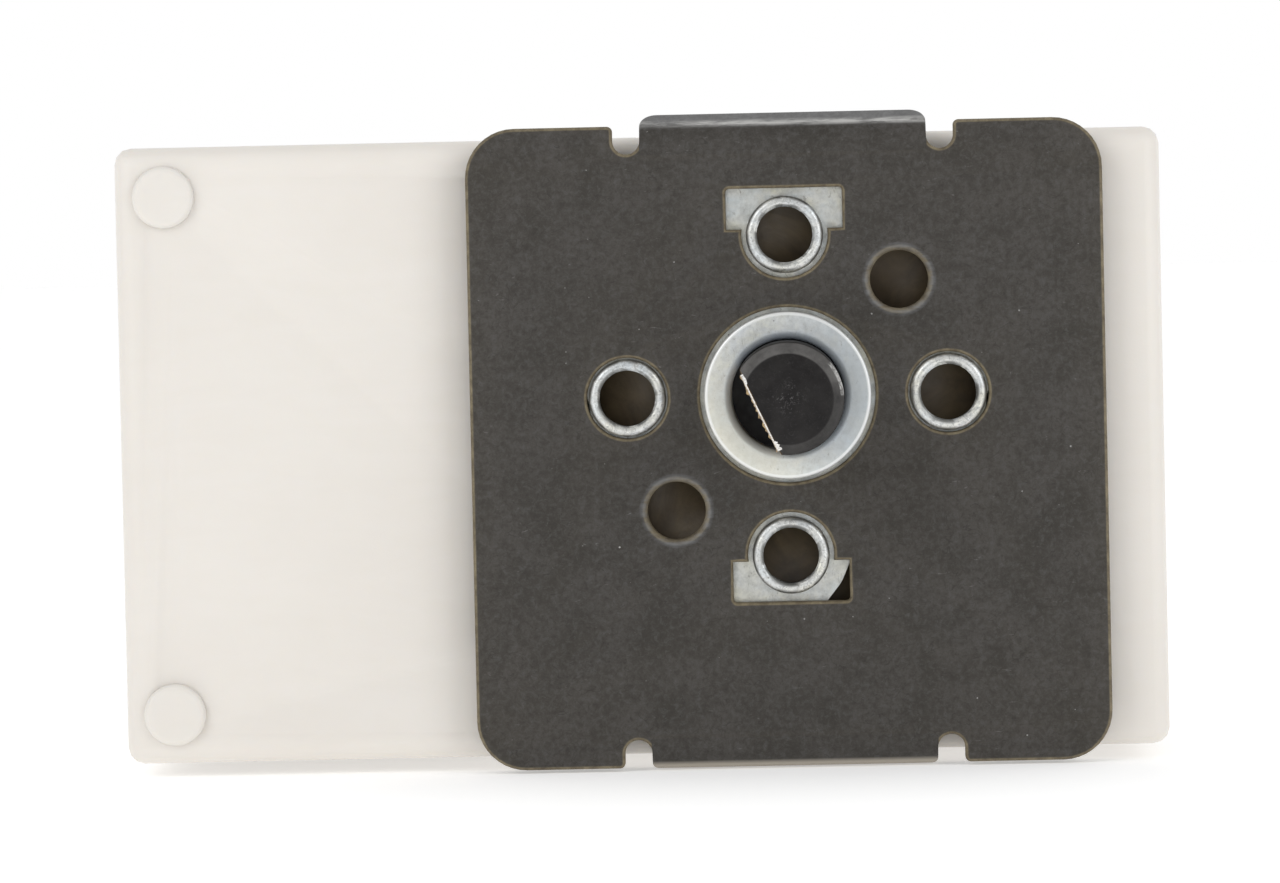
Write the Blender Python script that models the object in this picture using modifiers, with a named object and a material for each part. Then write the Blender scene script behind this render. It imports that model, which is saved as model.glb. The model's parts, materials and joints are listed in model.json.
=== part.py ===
"""Quarter-turn double-pole rotary isolator switch with a sheet-steel mounting plate.

Everything is drawn as the front view shows it: local X to the right, local Y up, local Z towards the
viewer, with the shaft on the Z axis and Z = 0 at the front face of the mounting plate. The assembly
empty stands that drawing up, so that in the world the shaft points to -Y and the drawing's Y is +Z.
Depth into the switch is therefore negative Z in every function below.
"""
import math

import bmesh
import bpy
from mathutils import Matrix, Vector

MM = 0.001

# Gaps between pieces
GAP = 0.1 * MM
RUNNING_GAP = 0.06 * MM
MERGE_DISTANCE = 0.002 * MM

# Housing
HOUSING_LEFT = -36.65 * MM
HOUSING_RIGHT = 20.55 * MM
HOUSING_CENTRE_Y = -2.7 * MM
HOUSING_HEIGHT = 33.8 * MM
HOUSING_FRONT = -1.8 * MM
HOUSING_PARTING = -10.8 * MM
HOUSING_REAR = -23.8 * MM
HOUSING_WALL = 1.8 * MM
HOUSING_CORNER_RADIUS = 0.9 * MM
HOUSING_TOP = HOUSING_CENTRE_Y + HOUSING_HEIGHT / 2
HOUSING_BOTTOM = HOUSING_CENTRE_Y - HOUSING_HEIGHT / 2
PIN_BOSS_RADIUS = 2.3 * MM
SCREW_BOSS_RADIUS = 2.6 * MM
SCREW_TUBE_RADIUS = 3.4 * MM
WALL_OVERLAP = 0.3 * MM
COVER_INSIDE = HOUSING_FRONT - HOUSING_WALL
BASE_INSIDE = HOUSING_REAR + HOUSING_WALL

# Mounting plate
PLATE_WIDTH = 34.65 * MM
PLATE_HEIGHT = 35.0 * MM
PLATE_THICKNESS = 0.8 * MM
PLATE_CORNER_RADIUS = 2.7 * MM
LIP_HALF_WIDTH = 7.8 * MM
NOTCH_WIDTH = 1.47 * MM
NOTCH_DEPTH = 1.53 * MM
BEND_RADIUS = 1.3 * MM
UPPER_LIP_START = 16.42 * MM
UPPER_LIP_ANGLE = math.radians(55)
UPPER_LIP_FLAT = 1.2 * MM
UPPER_LIP_CORNER = 0.95 * MM
LOWER_LIP_START = 16.3 * MM
LOWER_LIP_ANGLE = math.radians(85)
LOWER_LIP_FLAT = 0.6 * MM
LOWER_LIP_CORNER = 1.1 * MM
WINDOW_HALF_WIDTH = 3.17 * MM
WINDOW_INNER = 9.05 * MM
WINDOW_OUTER = 11.27 * MM
WINDOW_ROUND = 2.35 * MM

# Bush plate, its bosses and the collar
FIXING_RADIUS = 8.74 * MM
BUSH_PLATE_FRONT = -PLATE_THICKNESS - GAP
BUSH_PLATE_REAR = HOUSING_FRONT + GAP
BOSS_OUTER_RADIUS = 2.1 * MM
BOSS_BORE_RADIUS = 1.52 * MM
BOSS_FRONT = 0.15 * MM
PLAIN_HOLE_RADIUS = 1.58 * MM
PLAIN_HOLE_ROLL = 0.36 * MM
COLLAR_RADIUS = 4.55 * MM
COLLAR_FRONT = 0.45 * MM
SPIGOT_RADIUS = 3.9 * MM

# Shaft
SHAFT_RADIUS = 3.0 * MM
SHAFT_FRONT = 8.0 * MM
SHAFT_CHAMFER = 0.58 * MM
SHAFT_FLAT_OFFSET = 1.65 * MM
SHAFT_FLAT_ANGLE = math.radians(205)
DRUM_FRONT = -4.3 * MM
DRUM_REAR = -19.4 * MM
CLIP_FRONT = -19.6 * MM
CLIP_THICKNESS = 0.6 * MM
GROOVE_RADIUS = 2.1 * MM
JOURNAL_RADIUS = 2.2 * MM
JOURNAL_END = -22.9 * MM
WASHER_RADIUS = 5.5 * MM

# Cam, detent wheel and stop lug
CARRIER_TRAVEL = 3.0 * MM
QUARTER_TURN = math.radians(90)
CAM_LIFT = CARRIER_TRAVEL / QUARTER_TURN
CAM_BASE_RADIUS = 4.6 * MM
CAM_OVERRUN = math.radians(4)
CAM_FRONT = -10.0 * MM
CAM_REAR = -15.2 * MM
HUB_RADIUS = 4.0 * MM
DETENT_RADIUS = 7.0 * MM
DETENT_REAR = -8.3 * MM
NOTCH_RADIUS = 1.15 * MM
NOTCH_CENTRE = 7.3 * MM
LUG_RADIUS = 9.2 * MM
LUG_HALF_ANGLE = math.radians(8)
LUG_FRONT = -17.0 * MM
STOP_POST_CENTRE = 8.3 * MM
STOP_POST_RADIUS = 1.3 * MM
STOP_CLEARANCE = math.radians(1)

# Contact carrier, two poles along X
CARRIER_FACE = -CAM_BASE_RADIUS - GAP / 2
CARRIER_END = -30.5 * MM
CARRIER_HALF_HEIGHT = 5.0 * MM
CARRIER_FRONT = -8.6 * MM
CARRIER_REAR = -16.6 * MM
WINDOW_RIGHTS = (-10.0 * MM, -21.0 * MM)
CARRIER_WINDOW_LENGTH = 5.5 * MM
CARRIER_WINDOW_FRONT = -9.9 * MM
CARRIER_WINDOW_REAR = -15.3 * MM
CONTACT_DEPTH = -12.6 * MM
CONTACT_OFFSET = 8.2 * MM
CONTACT_GAP = CARRIER_TRAVEL + GAP / 2
BRIDGE_THICKNESS = 0.8 * MM
BRIDGE_HALF_LENGTH = 10.0 * MM
BRIDGE_HALF_WIDTH = 2.5 * MM
TIP_RADIUS = 1.6 * MM
TIP_HEIGHT = 0.5 * MM
SHANK_RADIUS = 0.7 * MM
SPRING_WIRE = 0.4 * MM
CONTACT_SPRING_RADIUS = 1.6 * MM
RETURN_SPRING_RADIUS = 1.5 * MM
RETURN_SPRING_OFFSET = 2.5 * MM
POCKET_RADIUS = 2.0 * MM
POCKET_DEPTH = 3.2 * MM

# Ribs and rails that guide the carrier
RIB_HALF_THICKNESS = 0.5 * MM
RIB_OFFSET = 4.4 * MM
RIB_RIGHT = -11.0 * MM
RAIL_HALF_THICKNESS = 0.6 * MM
RAIL_OFFSET = 3.6 * MM
RAIL_RIGHT = -9.0 * MM
SIDE_GUIDE_THICKNESS = 0.9 * MM
SIDE_GUIDE_SPANS = ((-29.3 * MM, -23.0 * MM), (-18.3 * MM, -12.5 * MM))

# Blade terminals
BLADE_WIDTH = 6.3 * MM
BLADE_THICKNESS = 0.8 * MM
BLADE_END = -31.8 * MM
TERMINAL_FRONT = -9.0 * MM
TERMINAL_OFFSET = 9.2 * MM
TERMINAL_SHOULDER = 0.5 * MM
TERMINAL_SHANK_WIDTH = 6.8 * MM
TERMINAL_FRONT_CORNER = 0.8 * MM
TAB_STOP = -24.1 * MM
TAB_TAPER = 1.4 * MM
TAB_CORNER = 0.3 * MM
TAB_CHAMFER = 0.9 * MM
TAB_HOLE_RADIUS = 0.85 * MM
TAB_HOLE_FROM_TIP = 3.8 * MM

# Fasteners
PIN_X = -33.95 * MM
PIN_INSET = 2.72 * MM
PIN_HEAD_RADIUS = 1.7 * MM
PIN_HEAD_HEIGHT = 0.5 * MM
PIN_SHANK_RADIUS = 1.0 * MM
PIN_END = -16.0 * MM
SCREW_X = 16.6 * MM
SCREW_INSET = 4.0 * MM
SCREW_HEAD_RADIUS = 2.3 * MM
SCREW_RECESS_DEPTH = 2.0 * MM
SCREW_SHANK_RADIUS = 1.1 * MM
SCREW_TIP = -5.5 * MM
RIVET_X = 12.6 * MM
RIVET_Y = -0.7 * MM
RIVET_RADIUS = 1.0 * MM
RIVET_HEAD_RADIUS = 1.7 * MM
LEAF_HALF_LENGTH = 9.5 * MM
LEAF_POST_NEAR = 8.9 * MM
LEAF_POST_FAR = 11.0 * MM
SHEET_HALF_WIDTH = 10.9 * MM
SHEET_TOP = 11.9 * MM
SHEET_BOTTOM = -12.3 * MM
SHEET_CORNER = 1.0 * MM
SHEET_THICKNESS = 0.4 * MM
LEAF_THICKNESS = 0.35 * MM

CREAM = (0.80, 0.77, 0.70)
DARK_STEEL = (0.058, 0.054, 0.046)
ZINC = (0.62, 0.64, 0.65)
BLACK_OXIDE = (0.03, 0.03, 0.032)
SPRING_STEEL = (0.42, 0.42, 0.43)
GREY_PLASTIC = (0.13, 0.13, 0.14)
BROWN_PLASTIC = (0.16, 0.07, 0.035)
FIBRE = (0.13, 0.09, 0.055)
COPPER = (0.72, 0.36, 0.20)
BRASS = (0.74, 0.56, 0.24)
SILVER = (0.80, 0.80, 0.78)

FULL_TURN = 2 * math.pi


# ---------------------------------------------------------------- scene helpers

def clear_scene():
    for obj in list(bpy.data.objects):
        bpy.data.objects.remove(obj, do_unlink=True)


def make_collection(name):
    collection = bpy.data.collections.new(name)
    bpy.context.scene.collection.children.link(collection)
    return collection


def make_empty(name, parent=None):
    empty = bpy.data.objects.new(name, None)
    empty.empty_display_size = 5 * MM
    empty.parent = parent
    parts.objects.link(empty)
    return empty


def material(name, color, roughness, metallic=0.0):
    result = bpy.data.materials.new(name)
    result.use_nodes = True
    shader = result.node_tree.nodes["Principled BSDF"]
    shader.inputs["Base Color"].default_value = (*color, 1.0)
    shader.inputs["Roughness"].default_value = roughness
    shader.inputs["Metallic"].default_value = metallic
    return result


def add_object(name, mesh, parent, finish=None, location=(0, 0, 0), rotation=(0, 0, 0)):
    """A named part, or a cutter or joining shape where no finish is given."""
    obj = bpy.data.objects.new(name, mesh)
    obj.parent = parent
    obj.location = location
    obj.rotation_euler = rotation
    if finish:
        parts.objects.link(obj)
        mesh.materials.append(material(name, *finish))
        mesh.shade_smooth()
        mesh.set_sharp_from_angle(angle=math.radians(35))
    else:
        tools.objects.link(obj)
        obj.hide_render = True
        obj.display_type = 'WIRE'
    return obj


def mesh_from(bm, name):
    mesh = bpy.data.meshes.new(name)
    bm.to_mesh(mesh)
    bm.free()
    return mesh


def combine(target, operation, tool):
    """Boolean of target with a helper shape, applied at once, with the helper then removed."""
    modifier = target.modifiers.new(tool.name, 'BOOLEAN')
    modifier.operation = operation
    modifier.object = tool
    modifier.solver = 'EXACT'
    apply_modifiers(target)
    bpy.data.objects.remove(tool, do_unlink=True)


def cut(target, *cutters):
    for cutter in cutters:
        combine(target, 'DIFFERENCE', cutter)


def join(target, *additions):
    for addition in additions:
        combine(target, 'UNION', addition)


def apply_modifiers(obj):
    bpy.context.view_layer.update()
    graph = bpy.context.evaluated_depsgraph_get()
    mesh = bpy.data.meshes.new_from_object(obj.evaluated_get(graph))
    bm = bmesh.new()
    bm.from_mesh(mesh)
    bmesh.ops.remove_doubles(bm, verts=bm.verts, dist=MERGE_DISTANCE)
    bmesh.ops.dissolve_degenerate(bm, edges=bm.edges, dist=MERGE_DISTANCE)
    bm.to_mesh(mesh)
    bm.free()
    obj.modifiers.clear()
    old = obj.data
    obj.data = mesh
    mesh.name = obj.name
    bpy.data.meshes.remove(old)
    mesh.shade_smooth()
    mesh.set_sharp_from_angle(angle=math.radians(35))


# ---------------------------------------------------------------- shapes

def box(name, low, high, finish=None, parent=None, bevel=0.0, bevel_axis=None):
    """A box between two corners; bevel rounds its edges along one axis (0, 1 or 2), or all of them."""
    bm = bmesh.new()
    bmesh.ops.create_cube(bm, size=1.0)
    size = Vector(high) - Vector(low)
    centre = (Vector(high) + Vector(low)) / 2
    bmesh.ops.transform(bm, matrix=Matrix.Translation(centre) @ Matrix.Diagonal((*size, 1)), verts=bm.verts)
    if bevel:
        edges = [e for e in bm.edges if bevel_axis is None or edge_axis(e) == bevel_axis]
        bmesh.ops.bevel(bm, geom=edges, offset=bevel, segments=3, profile=0.5, affect='EDGES')
    return add_object(name, mesh_from(bm, name), parent or assembly, finish)


def edge_axis(edge):
    direction = edge.verts[1].co - edge.verts[0].co
    return max(range(3), key=lambda axis: abs(direction[axis]))


def cylinder(name, radius, front, rear, centre=(0, 0), segments=32, finish=None, parent=None,
             rear_radius=None):
    """A cylinder or cone along Z, from its rear depth to its front depth."""
    bm = bmesh.new()
    bmesh.ops.create_cone(bm, cap_ends=True, segments=segments, radius1=rear_radius or radius,
                          radius2=radius, depth=front - rear)
    location = (centre[0], centre[1], (front + rear) / 2)
    return add_object(name, mesh_from(bm, name), parent or assembly, finish, location)


def cylinder_x(name, radius, left, right, centre, segments=24, finish=None, parent=None):
    """A cylinder along X; centre is its (y, z)."""
    bm = bmesh.new()
    bmesh.ops.create_cone(bm, cap_ends=True, segments=segments, radius1=radius, radius2=radius,
                          depth=right - left)
    location = ((left + right) / 2, *centre)
    return add_object(name, mesh_from(bm, name), parent or assembly, finish, location, (0, math.pi / 2, 0))


def turned(name, profile, segments=32, finish=None, parent=None, location=(0, 0, 0), rotation=(0, 0, 0)):
    """A turned solid: (radius, z) points that run down the outer side from top to bottom."""
    bm = bmesh.new()
    verts = [bm.verts.new((radius, 0, z)) for radius, z in profile]
    for first, second in zip(verts, verts[1:]):
        bm.edges.new((first, second))
    if profile[0][0] > 0:
        bm.edges.new((verts[-1], verts[0]))
    obj = add_object(name, mesh_from(bm, name), parent or assembly, finish, location, rotation)
    screw = obj.modifiers.new("turn", 'SCREW')
    screw.axis = 'Z'
    screw.steps = segments
    screw.render_steps = segments
    screw.use_merge_vertices = True
    screw.merge_threshold = 0.00001
    screw.use_smooth_shade = True
    apply_modifiers(obj)
    return obj


def arc(centre, radius, start, end, steps):
    """Points on an arc, both ends included; angles in radians, anticlockwise from +X."""
    return [(centre[0] + radius * math.cos(start + (end - start) * i / steps),
             centre[1] + radius * math.sin(start + (end - start) * i / steps)) for i in range(steps + 1)]


def circle(radius, centre=(0, 0), segments=32):
    return arc(centre, radius, 0, FULL_TURN * (segments - 1) / segments, segments - 1)


def rounded(corners, steps=5):
    """An outline from (x, y, radius) corners, with each corner rounded to its radius."""
    points = []
    count = len(corners)
    for index, (x, y, radius) in enumerate(corners):
        corner = Vector((x, y))
        if radius <= 0:
            points.append((x, y))
            continue
        before = (Vector(corners[index - 1][:2]) - corner).normalized()
        after = (Vector(corners[(index + 1) % count][:2]) - corner).normalized()
        half = before.angle(after) / 2
        start = corner + before * (radius / math.tan(half))
        centre = corner + (before + after).normalized() * (radius / math.sin(half))
        spoke = start - centre
        turn = (math.pi - 2 * half) * (1 if before.cross(after) < 0 else -1)
        for step in range(steps + 1):
            point = centre + Matrix.Rotation(turn * step / steps, 2) @ spoke
            points.append((point.x, point.y))
    return points


def outline_mesh(name, outlines, thickness):
    """A flat sheet or plate from its outer outline and its holes, as a filled 2D curve made a mesh."""
    curve = bpy.data.curves.new(name, 'CURVE')
    curve.dimensions = '2D'
    curve.fill_mode = 'BOTH' if thickness else 'FRONT'
    curve.extrude = thickness / 2
    for points in outlines:
        spline = curve.splines.new('POLY')
        spline.points.add(len(points) - 1)
        for target, (x, y) in zip(spline.points, points):
            target.co = (x, y, 0, 1)
        spline.use_cyclic_u = True
    holder = bpy.data.objects.new(name, curve)
    tools.objects.link(holder)
    bpy.context.view_layer.update()
    graph = bpy.context.evaluated_depsgraph_get()
    flat = bpy.data.meshes.new_from_object(holder.evaluated_get(graph))
    bm = bmesh.new()
    bm.from_mesh(flat)
    bmesh.ops.remove_doubles(bm, verts=bm.verts, dist=0.00001)
    bmesh.ops.recalc_face_normals(bm, faces=bm.faces)
    bpy.data.objects.remove(holder, do_unlink=True)
    bpy.data.curves.remove(curve)
    bpy.data.meshes.remove(flat)
    return bm


def plate(name, outlines, front, rear, finish=None, parent=None):
    """A plate between two depths."""
    bm = outline_mesh(name, outlines, front - rear)
    return add_object(name, mesh_from(bm, name), parent or assembly, finish, (0, 0, (front + rear) / 2))


def coil(name, start, end, centre, radius, turns, finish, parent):
    """A compression spring along X between two ends; centre is its (y, z)."""
    points_per_turn = 8
    closed = SPRING_WIRE * 1.05
    curve = bpy.data.curves.new(name, 'CURVE')
    curve.dimensions = '3D'
    curve.bevel_depth = SPRING_WIRE / 2
    curve.bevel_resolution = 2
    curve.use_fill_caps = True
    spline = curve.splines.new('POLY')
    count = turns * points_per_turn + 1
    spline.points.add(count - 1)
    first = start + SPRING_WIRE / 2
    length = end - start - SPRING_WIRE
    pitch = (length - 2 * closed) / (turns - 2)
    for index in range(count):
        turn = index / points_per_turn
        advance = min(turn, 1) * closed + min(max(turn - 1, 0), turns - 2) * pitch
        advance += max(turn - (turns - 1), 0) * closed
        angle = FULL_TURN * turn
        spline.points[index].co = (first + advance, centre[0] + radius * math.cos(angle),
                                   centre[1] + radius * math.sin(angle), 1)
    obj = bpy.data.objects.new(name, curve)
    obj.parent = parent
    curve.materials.append(material(name, *finish))
    parts.objects.link(obj)
    return obj


# ---------------------------------------------------------------- plates and collar

def fixing(angle_degrees):
    """Centre of one of the six holes on the fixing circle."""
    angle = math.radians(angle_degrees)
    return (FIXING_RADIUS * math.cos(angle), FIXING_RADIUS * math.sin(angle))


BOSS_ANGLES = (0, 90, 180, 270)
PLAIN_HOLE_ANGLES = (45, 225)


def lip_length(angle, flat):
    return BEND_RADIUS * angle + flat


def blank_half(sign, lip_start, lip_total, lip_corner):
    """Corners of one edge of the flat blank, left to right along the bottom or right to left on top."""
    edge = PLATE_HEIGHT / 2
    outer = LIP_HALF_WIDTH + NOTCH_WIDTH
    floor = edge - NOTCH_DEPTH
    lip_end = lip_start + lip_total
    round_notch = NOTCH_WIDTH / 2 * 0.998
    side = [(PLATE_WIDTH / 2, edge, PLATE_CORNER_RADIUS), (outer, edge, 0), (outer, floor, round_notch),
            (LIP_HALF_WIDTH, floor, round_notch), (LIP_HALF_WIDTH, lip_end, lip_corner)]
    whole = side + [(-x, y, radius) for x, y, radius in reversed(side)]
    return [(sign * x, sign * y + HOUSING_CENTRE_Y, radius) for x, y, radius in whole]


def t_window(sign):
    """The T-shaped window round the upper or lower boss."""
    centre = (0, FIXING_RADIUS)
    reach = math.asin((WINDOW_INNER - FIXING_RADIUS) / WINDOW_ROUND)
    points = [(WINDOW_HALF_WIDTH, WINDOW_INNER), (WINDOW_HALF_WIDTH, WINDOW_OUTER),
              (-WINDOW_HALF_WIDTH, WINDOW_OUTER), (-WINDOW_HALF_WIDTH, WINDOW_INNER)]
    points += arc(centre, WINDOW_ROUND, math.pi - reach, FULL_TURN + reach, 12)
    return [(sign * x, sign * y) for x, y in points]


def bend_lip(bm, sign, start, angle):
    """Folds one lip of the flat sheet back round its bend line."""
    steps = 4
    lines = [start + BEND_RADIUS * angle * step / steps for step in range(steps + 1)]
    for line in lines:
        bmesh.ops.bisect_plane(bm, geom=bm.verts[:] + bm.edges[:] + bm.faces[:], dist=0.000001,
                               plane_co=(0, HOUSING_CENTRE_Y + sign * line, 0), plane_no=(0, 1, 0))
    for vert in bm.verts:
        run = sign * (vert.co.y - HOUSING_CENTRE_Y) - start
        if run <= 0 or abs(vert.co.x) > LIP_HALF_WIDTH + NOTCH_WIDTH / 2:
            continue
        swept = min(run / BEND_RADIUS, angle)
        straight = max(run - BEND_RADIUS * angle, 0)
        out = BEND_RADIUS * math.sin(swept) + straight * math.cos(swept)
        back = BEND_RADIUS * (1 - math.cos(swept)) + straight * math.sin(swept)
        vert.co.y = HOUSING_CENTRE_Y + sign * (start + out)
        vert.co.z = -back


def mounting_plate():
    upper = blank_half(1, UPPER_LIP_START, lip_length(UPPER_LIP_ANGLE, UPPER_LIP_FLAT), UPPER_LIP_CORNER)
    lower = blank_half(-1, LOWER_LIP_START, lip_length(LOWER_LIP_ANGLE, LOWER_LIP_FLAT), LOWER_LIP_CORNER)
    holes = [circle(COLLAR_RADIUS + 0.23 * MM, segments=36), t_window(1), t_window(-1)]
    holes += [circle(BOSS_OUTER_RADIUS + 0.1 * MM, fixing(angle), 24) for angle in (0, 180)]
    bm = outline_mesh("mounting_plate", [rounded(upper + lower)] + holes, 0)
    for face in bm.faces:
        if face.normal.z < 0:
            face.normal_flip()
    bend_lip(bm, 1, UPPER_LIP_START, UPPER_LIP_ANGLE)
    bend_lip(bm, -1, LOWER_LIP_START, LOWER_LIP_ANGLE)
    obj = add_object("mounting_plate", mesh_from(bm, "mounting_plate"), assembly, (DARK_STEEL, 0.5, 0.6))
    thicken = obj.modifiers.new("thickness", 'SOLIDIFY')
    thicken.thickness = PLATE_THICKNESS
    thicken.offset = -1
    apply_modifiers(obj)
    for angle in PLAIN_HOLE_ANGLES:
        cut(obj, rolled_hole("rolled_hole", fixing(angle)))
    return obj


def rolled_hole(name, centre):
    """Cutter for a plain hole whose front edge is rolled in."""
    roll = PLAIN_HOLE_ROLL
    lip = [(PLAIN_HOLE_RADIUS + roll * (1 - math.cos(turn)), roll * (math.sin(turn) - 1))
           for turn in (math.radians(90 - 30 * step) for step in range(4))]
    profile = [(0, 0.5 * MM), (lip[0][0], 0.5 * MM)] + lip
    profile += [(PLAIN_HOLE_RADIUS, -PLATE_THICKNESS - 0.5 * MM), (0, -PLATE_THICKNESS - 0.5 * MM)]
    return turned(name, profile, 24, location=(*centre, 0))


def bush_plate():
    """Zinc-plated cross-shaped plate with the four tapped bosses drawn up from it."""
    arm = 4.1 * MM
    band = 3.95 * MM
    web = 1.25 * MM
    ends = 12.6 * MM
    side = 15.6 * MM
    fillet = 0.6 * MM
    round_end = 1.2 * MM
    right = [(0.9 * MM, -ends, fillet), (2.72 * MM, -10.3 * MM, 2.0 * MM), (3.5 * MM, -8.5 * MM, MM),
             (arm, -7.6 * MM, fillet), (arm, -band - web, fillet),
             (arm + web, -band, fillet), (side, -band, round_end), (side, band, round_end),
             (arm + web, band, fillet), (arm, band + web, fillet), (arm, ends, fillet)]
    left = [(-arm, ends, fillet), (-arm, band + web, fillet), (-arm - web, band, fillet),
            (-side, band, round_end), (-side, -band, round_end), (-arm - web, -band, fillet),
            (-arm, -band - web, fillet), (-arm, -ends, fillet)]
    hole = circle(SPIGOT_RADIUS + GAP)
    obj = plate("bush_plate", [rounded(right + left, 3), hole], BUSH_PLATE_FRONT, BUSH_PLATE_REAR,
                (ZINC, 0.3, 1.0))
    for angle in BOSS_ANGLES:
        join(obj, boss("boss", fixing(angle)))
        cut(obj, boss_bore("boss_bore", fixing(angle)))
    for x in (-RIVET_X, RIVET_X):
        hole = RIVET_RADIUS + GAP
        cut(obj, cylinder("countersink", RIVET_HEAD_RADIUS + 2 * GAP, BUSH_PLATE_FRONT + GAP,
                          BUSH_PLATE_REAR - GAP, (x, RIVET_Y), rear_radius=hole))
    return obj


def boss(name, centre):
    """Solid form of a boss: a drawn neck with a rounded rim."""
    edge = 0.22 * MM
    rear = (BUSH_PLATE_FRONT + BUSH_PLATE_REAR) / 2
    rim = [(BOSS_OUTER_RADIUS - edge * (1 - math.cos(turn)), BOSS_FRONT - edge * (1 - math.sin(turn)))
           for turn in (math.radians(90 - 45 * step) for step in range(3))]
    profile = [(0, BOSS_FRONT)] + rim + [(BOSS_OUTER_RADIUS, rear), (0, rear)]
    return turned(name, profile, 20, location=(*centre, 0))


def boss_bore(name, centre):
    """Cutter for a boss's tapped bore, countersunk a little at the mouth."""
    mouth = 0.12 * MM
    front = BOSS_FRONT + MM
    rear = BUSH_PLATE_REAR - MM
    profile = [(0, front), (BOSS_BORE_RADIUS + mouth, front), (BOSS_BORE_RADIUS + mouth, BOSS_FRONT),
               (BOSS_BORE_RADIUS, BOSS_FRONT - mouth), (BOSS_BORE_RADIUS, rear), (0, rear)]
    return turned(name, profile, 20, location=(*centre, 0))


def shaft_bush():
    """Collar in front of the bush plate, with a spigot through it into the cover."""
    rim = 0.14 * MM
    throat = 0.35 * MM
    bore = SHAFT_RADIUS + RUNNING_GAP
    shoulder = BUSH_PLATE_FRONT + GAP / 2
    inner = [(bore + throat * (1 - math.cos(turn)), COLLAR_FRONT - throat * (1 - math.sin(turn)))
             for turn in (math.radians(30 * step) for step in range(4))]
    profile = inner + [(COLLAR_RADIUS - rim, COLLAR_FRONT), (COLLAR_RADIUS, COLLAR_FRONT - rim),
                       (COLLAR_RADIUS, shoulder), (SPIGOT_RADIUS, shoulder),
                       (SPIGOT_RADIUS, COVER_INSIDE), (bore, COVER_INSIDE)]
    return turned("shaft_bush", profile, 36, (ZINC, 0.28, 1.0))


def plate_rivet(name, x):
    """Flush rivet through the bush plate and the cover wall, formed over inside."""
    front = BUSH_PLATE_FRONT - GAP / 2
    inside = COVER_INSIDE - GAP
    profile = [(0, front), (RIVET_HEAD_RADIUS, front), (RIVET_RADIUS, BUSH_PLATE_REAR),
               (RIVET_RADIUS, inside), (RIVET_HEAD_RADIUS, inside), (RIVET_HEAD_RADIUS, inside - 0.35 * MM),
               (RIVET_RADIUS, inside - 0.7 * MM), (0, inside - 0.7 * MM)]
    return turned(name, profile, 16, (SPRING_STEEL, 0.35, 1.0), location=(x, RIVET_Y, 0))


def insulating_sheet():
    """Fibre sheet let into the cover's face, which shuts off the screw holes from the works."""
    corners = [(SHEET_HALF_WIDTH, SHEET_BOTTOM, SHEET_CORNER), (SHEET_HALF_WIDTH, SHEET_TOP, SHEET_CORNER),
               (-SHEET_HALF_WIDTH, SHEET_TOP, SHEET_CORNER), (-SHEET_HALF_WIDTH, SHEET_BOTTOM, SHEET_CORNER)]
    front = HOUSING_FRONT - GAP / 2
    return plate("insulating_sheet", [rounded(corners), circle(SPIGOT_RADIUS + GAP)], front,
                 front - SHEET_THICKNESS, (FIBRE, 0.7, 0.0))


# ---------------------------------------------------------------- housing

def pin_centres():
    """(x, y) of the two closing pins, upper then lower."""
    return [(PIN_X, HOUSING_TOP - PIN_INSET), (PIN_X, HOUSING_BOTTOM + PIN_INSET)]


def screw_centres():
    return [(SCREW_X, HOUSING_TOP - SCREW_INSET), (SCREW_X, HOUSING_BOTTOM + SCREW_INSET)]


def shell(name, open_z, closed_z, finish):
    """One half of the housing: a rounded box hollowed from its open side."""
    bm = bmesh.new()
    bmesh.ops.create_cube(bm, size=1.0)
    low = Vector((HOUSING_LEFT, HOUSING_BOTTOM, min(open_z, closed_z)))
    high = Vector((HOUSING_RIGHT, HOUSING_TOP, max(open_z, closed_z)))
    transform = Matrix.Translation((low + high) / 2) @ Matrix.Diagonal((*(high - low), 1))
    bmesh.ops.transform(bm, matrix=transform, verts=bm.verts)
    edges = [e for e in bm.edges if any(abs(v.co.z - open_z) > GAP for v in e.verts)]
    bmesh.ops.bevel(bm, geom=edges, offset=HOUSING_CORNER_RADIUS, segments=3, profile=0.5, affect='EDGES')
    obj = add_object(name, mesh_from(bm, name), assembly, finish)
    wall = Vector((HOUSING_WALL, HOUSING_WALL))
    inside = closed_z + math.copysign(HOUSING_WALL, open_z - closed_z)
    past = open_z + math.copysign(HOUSING_WALL, open_z - closed_z)
    hollow_low = (*(low.xy + wall), min(inside, past))
    hollow_high = (*(high.xy - wall), max(inside, past))
    cut(obj, box("hollow", hollow_low, hollow_high, bevel=0.5 * MM, bevel_axis=2))
    return obj


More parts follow.
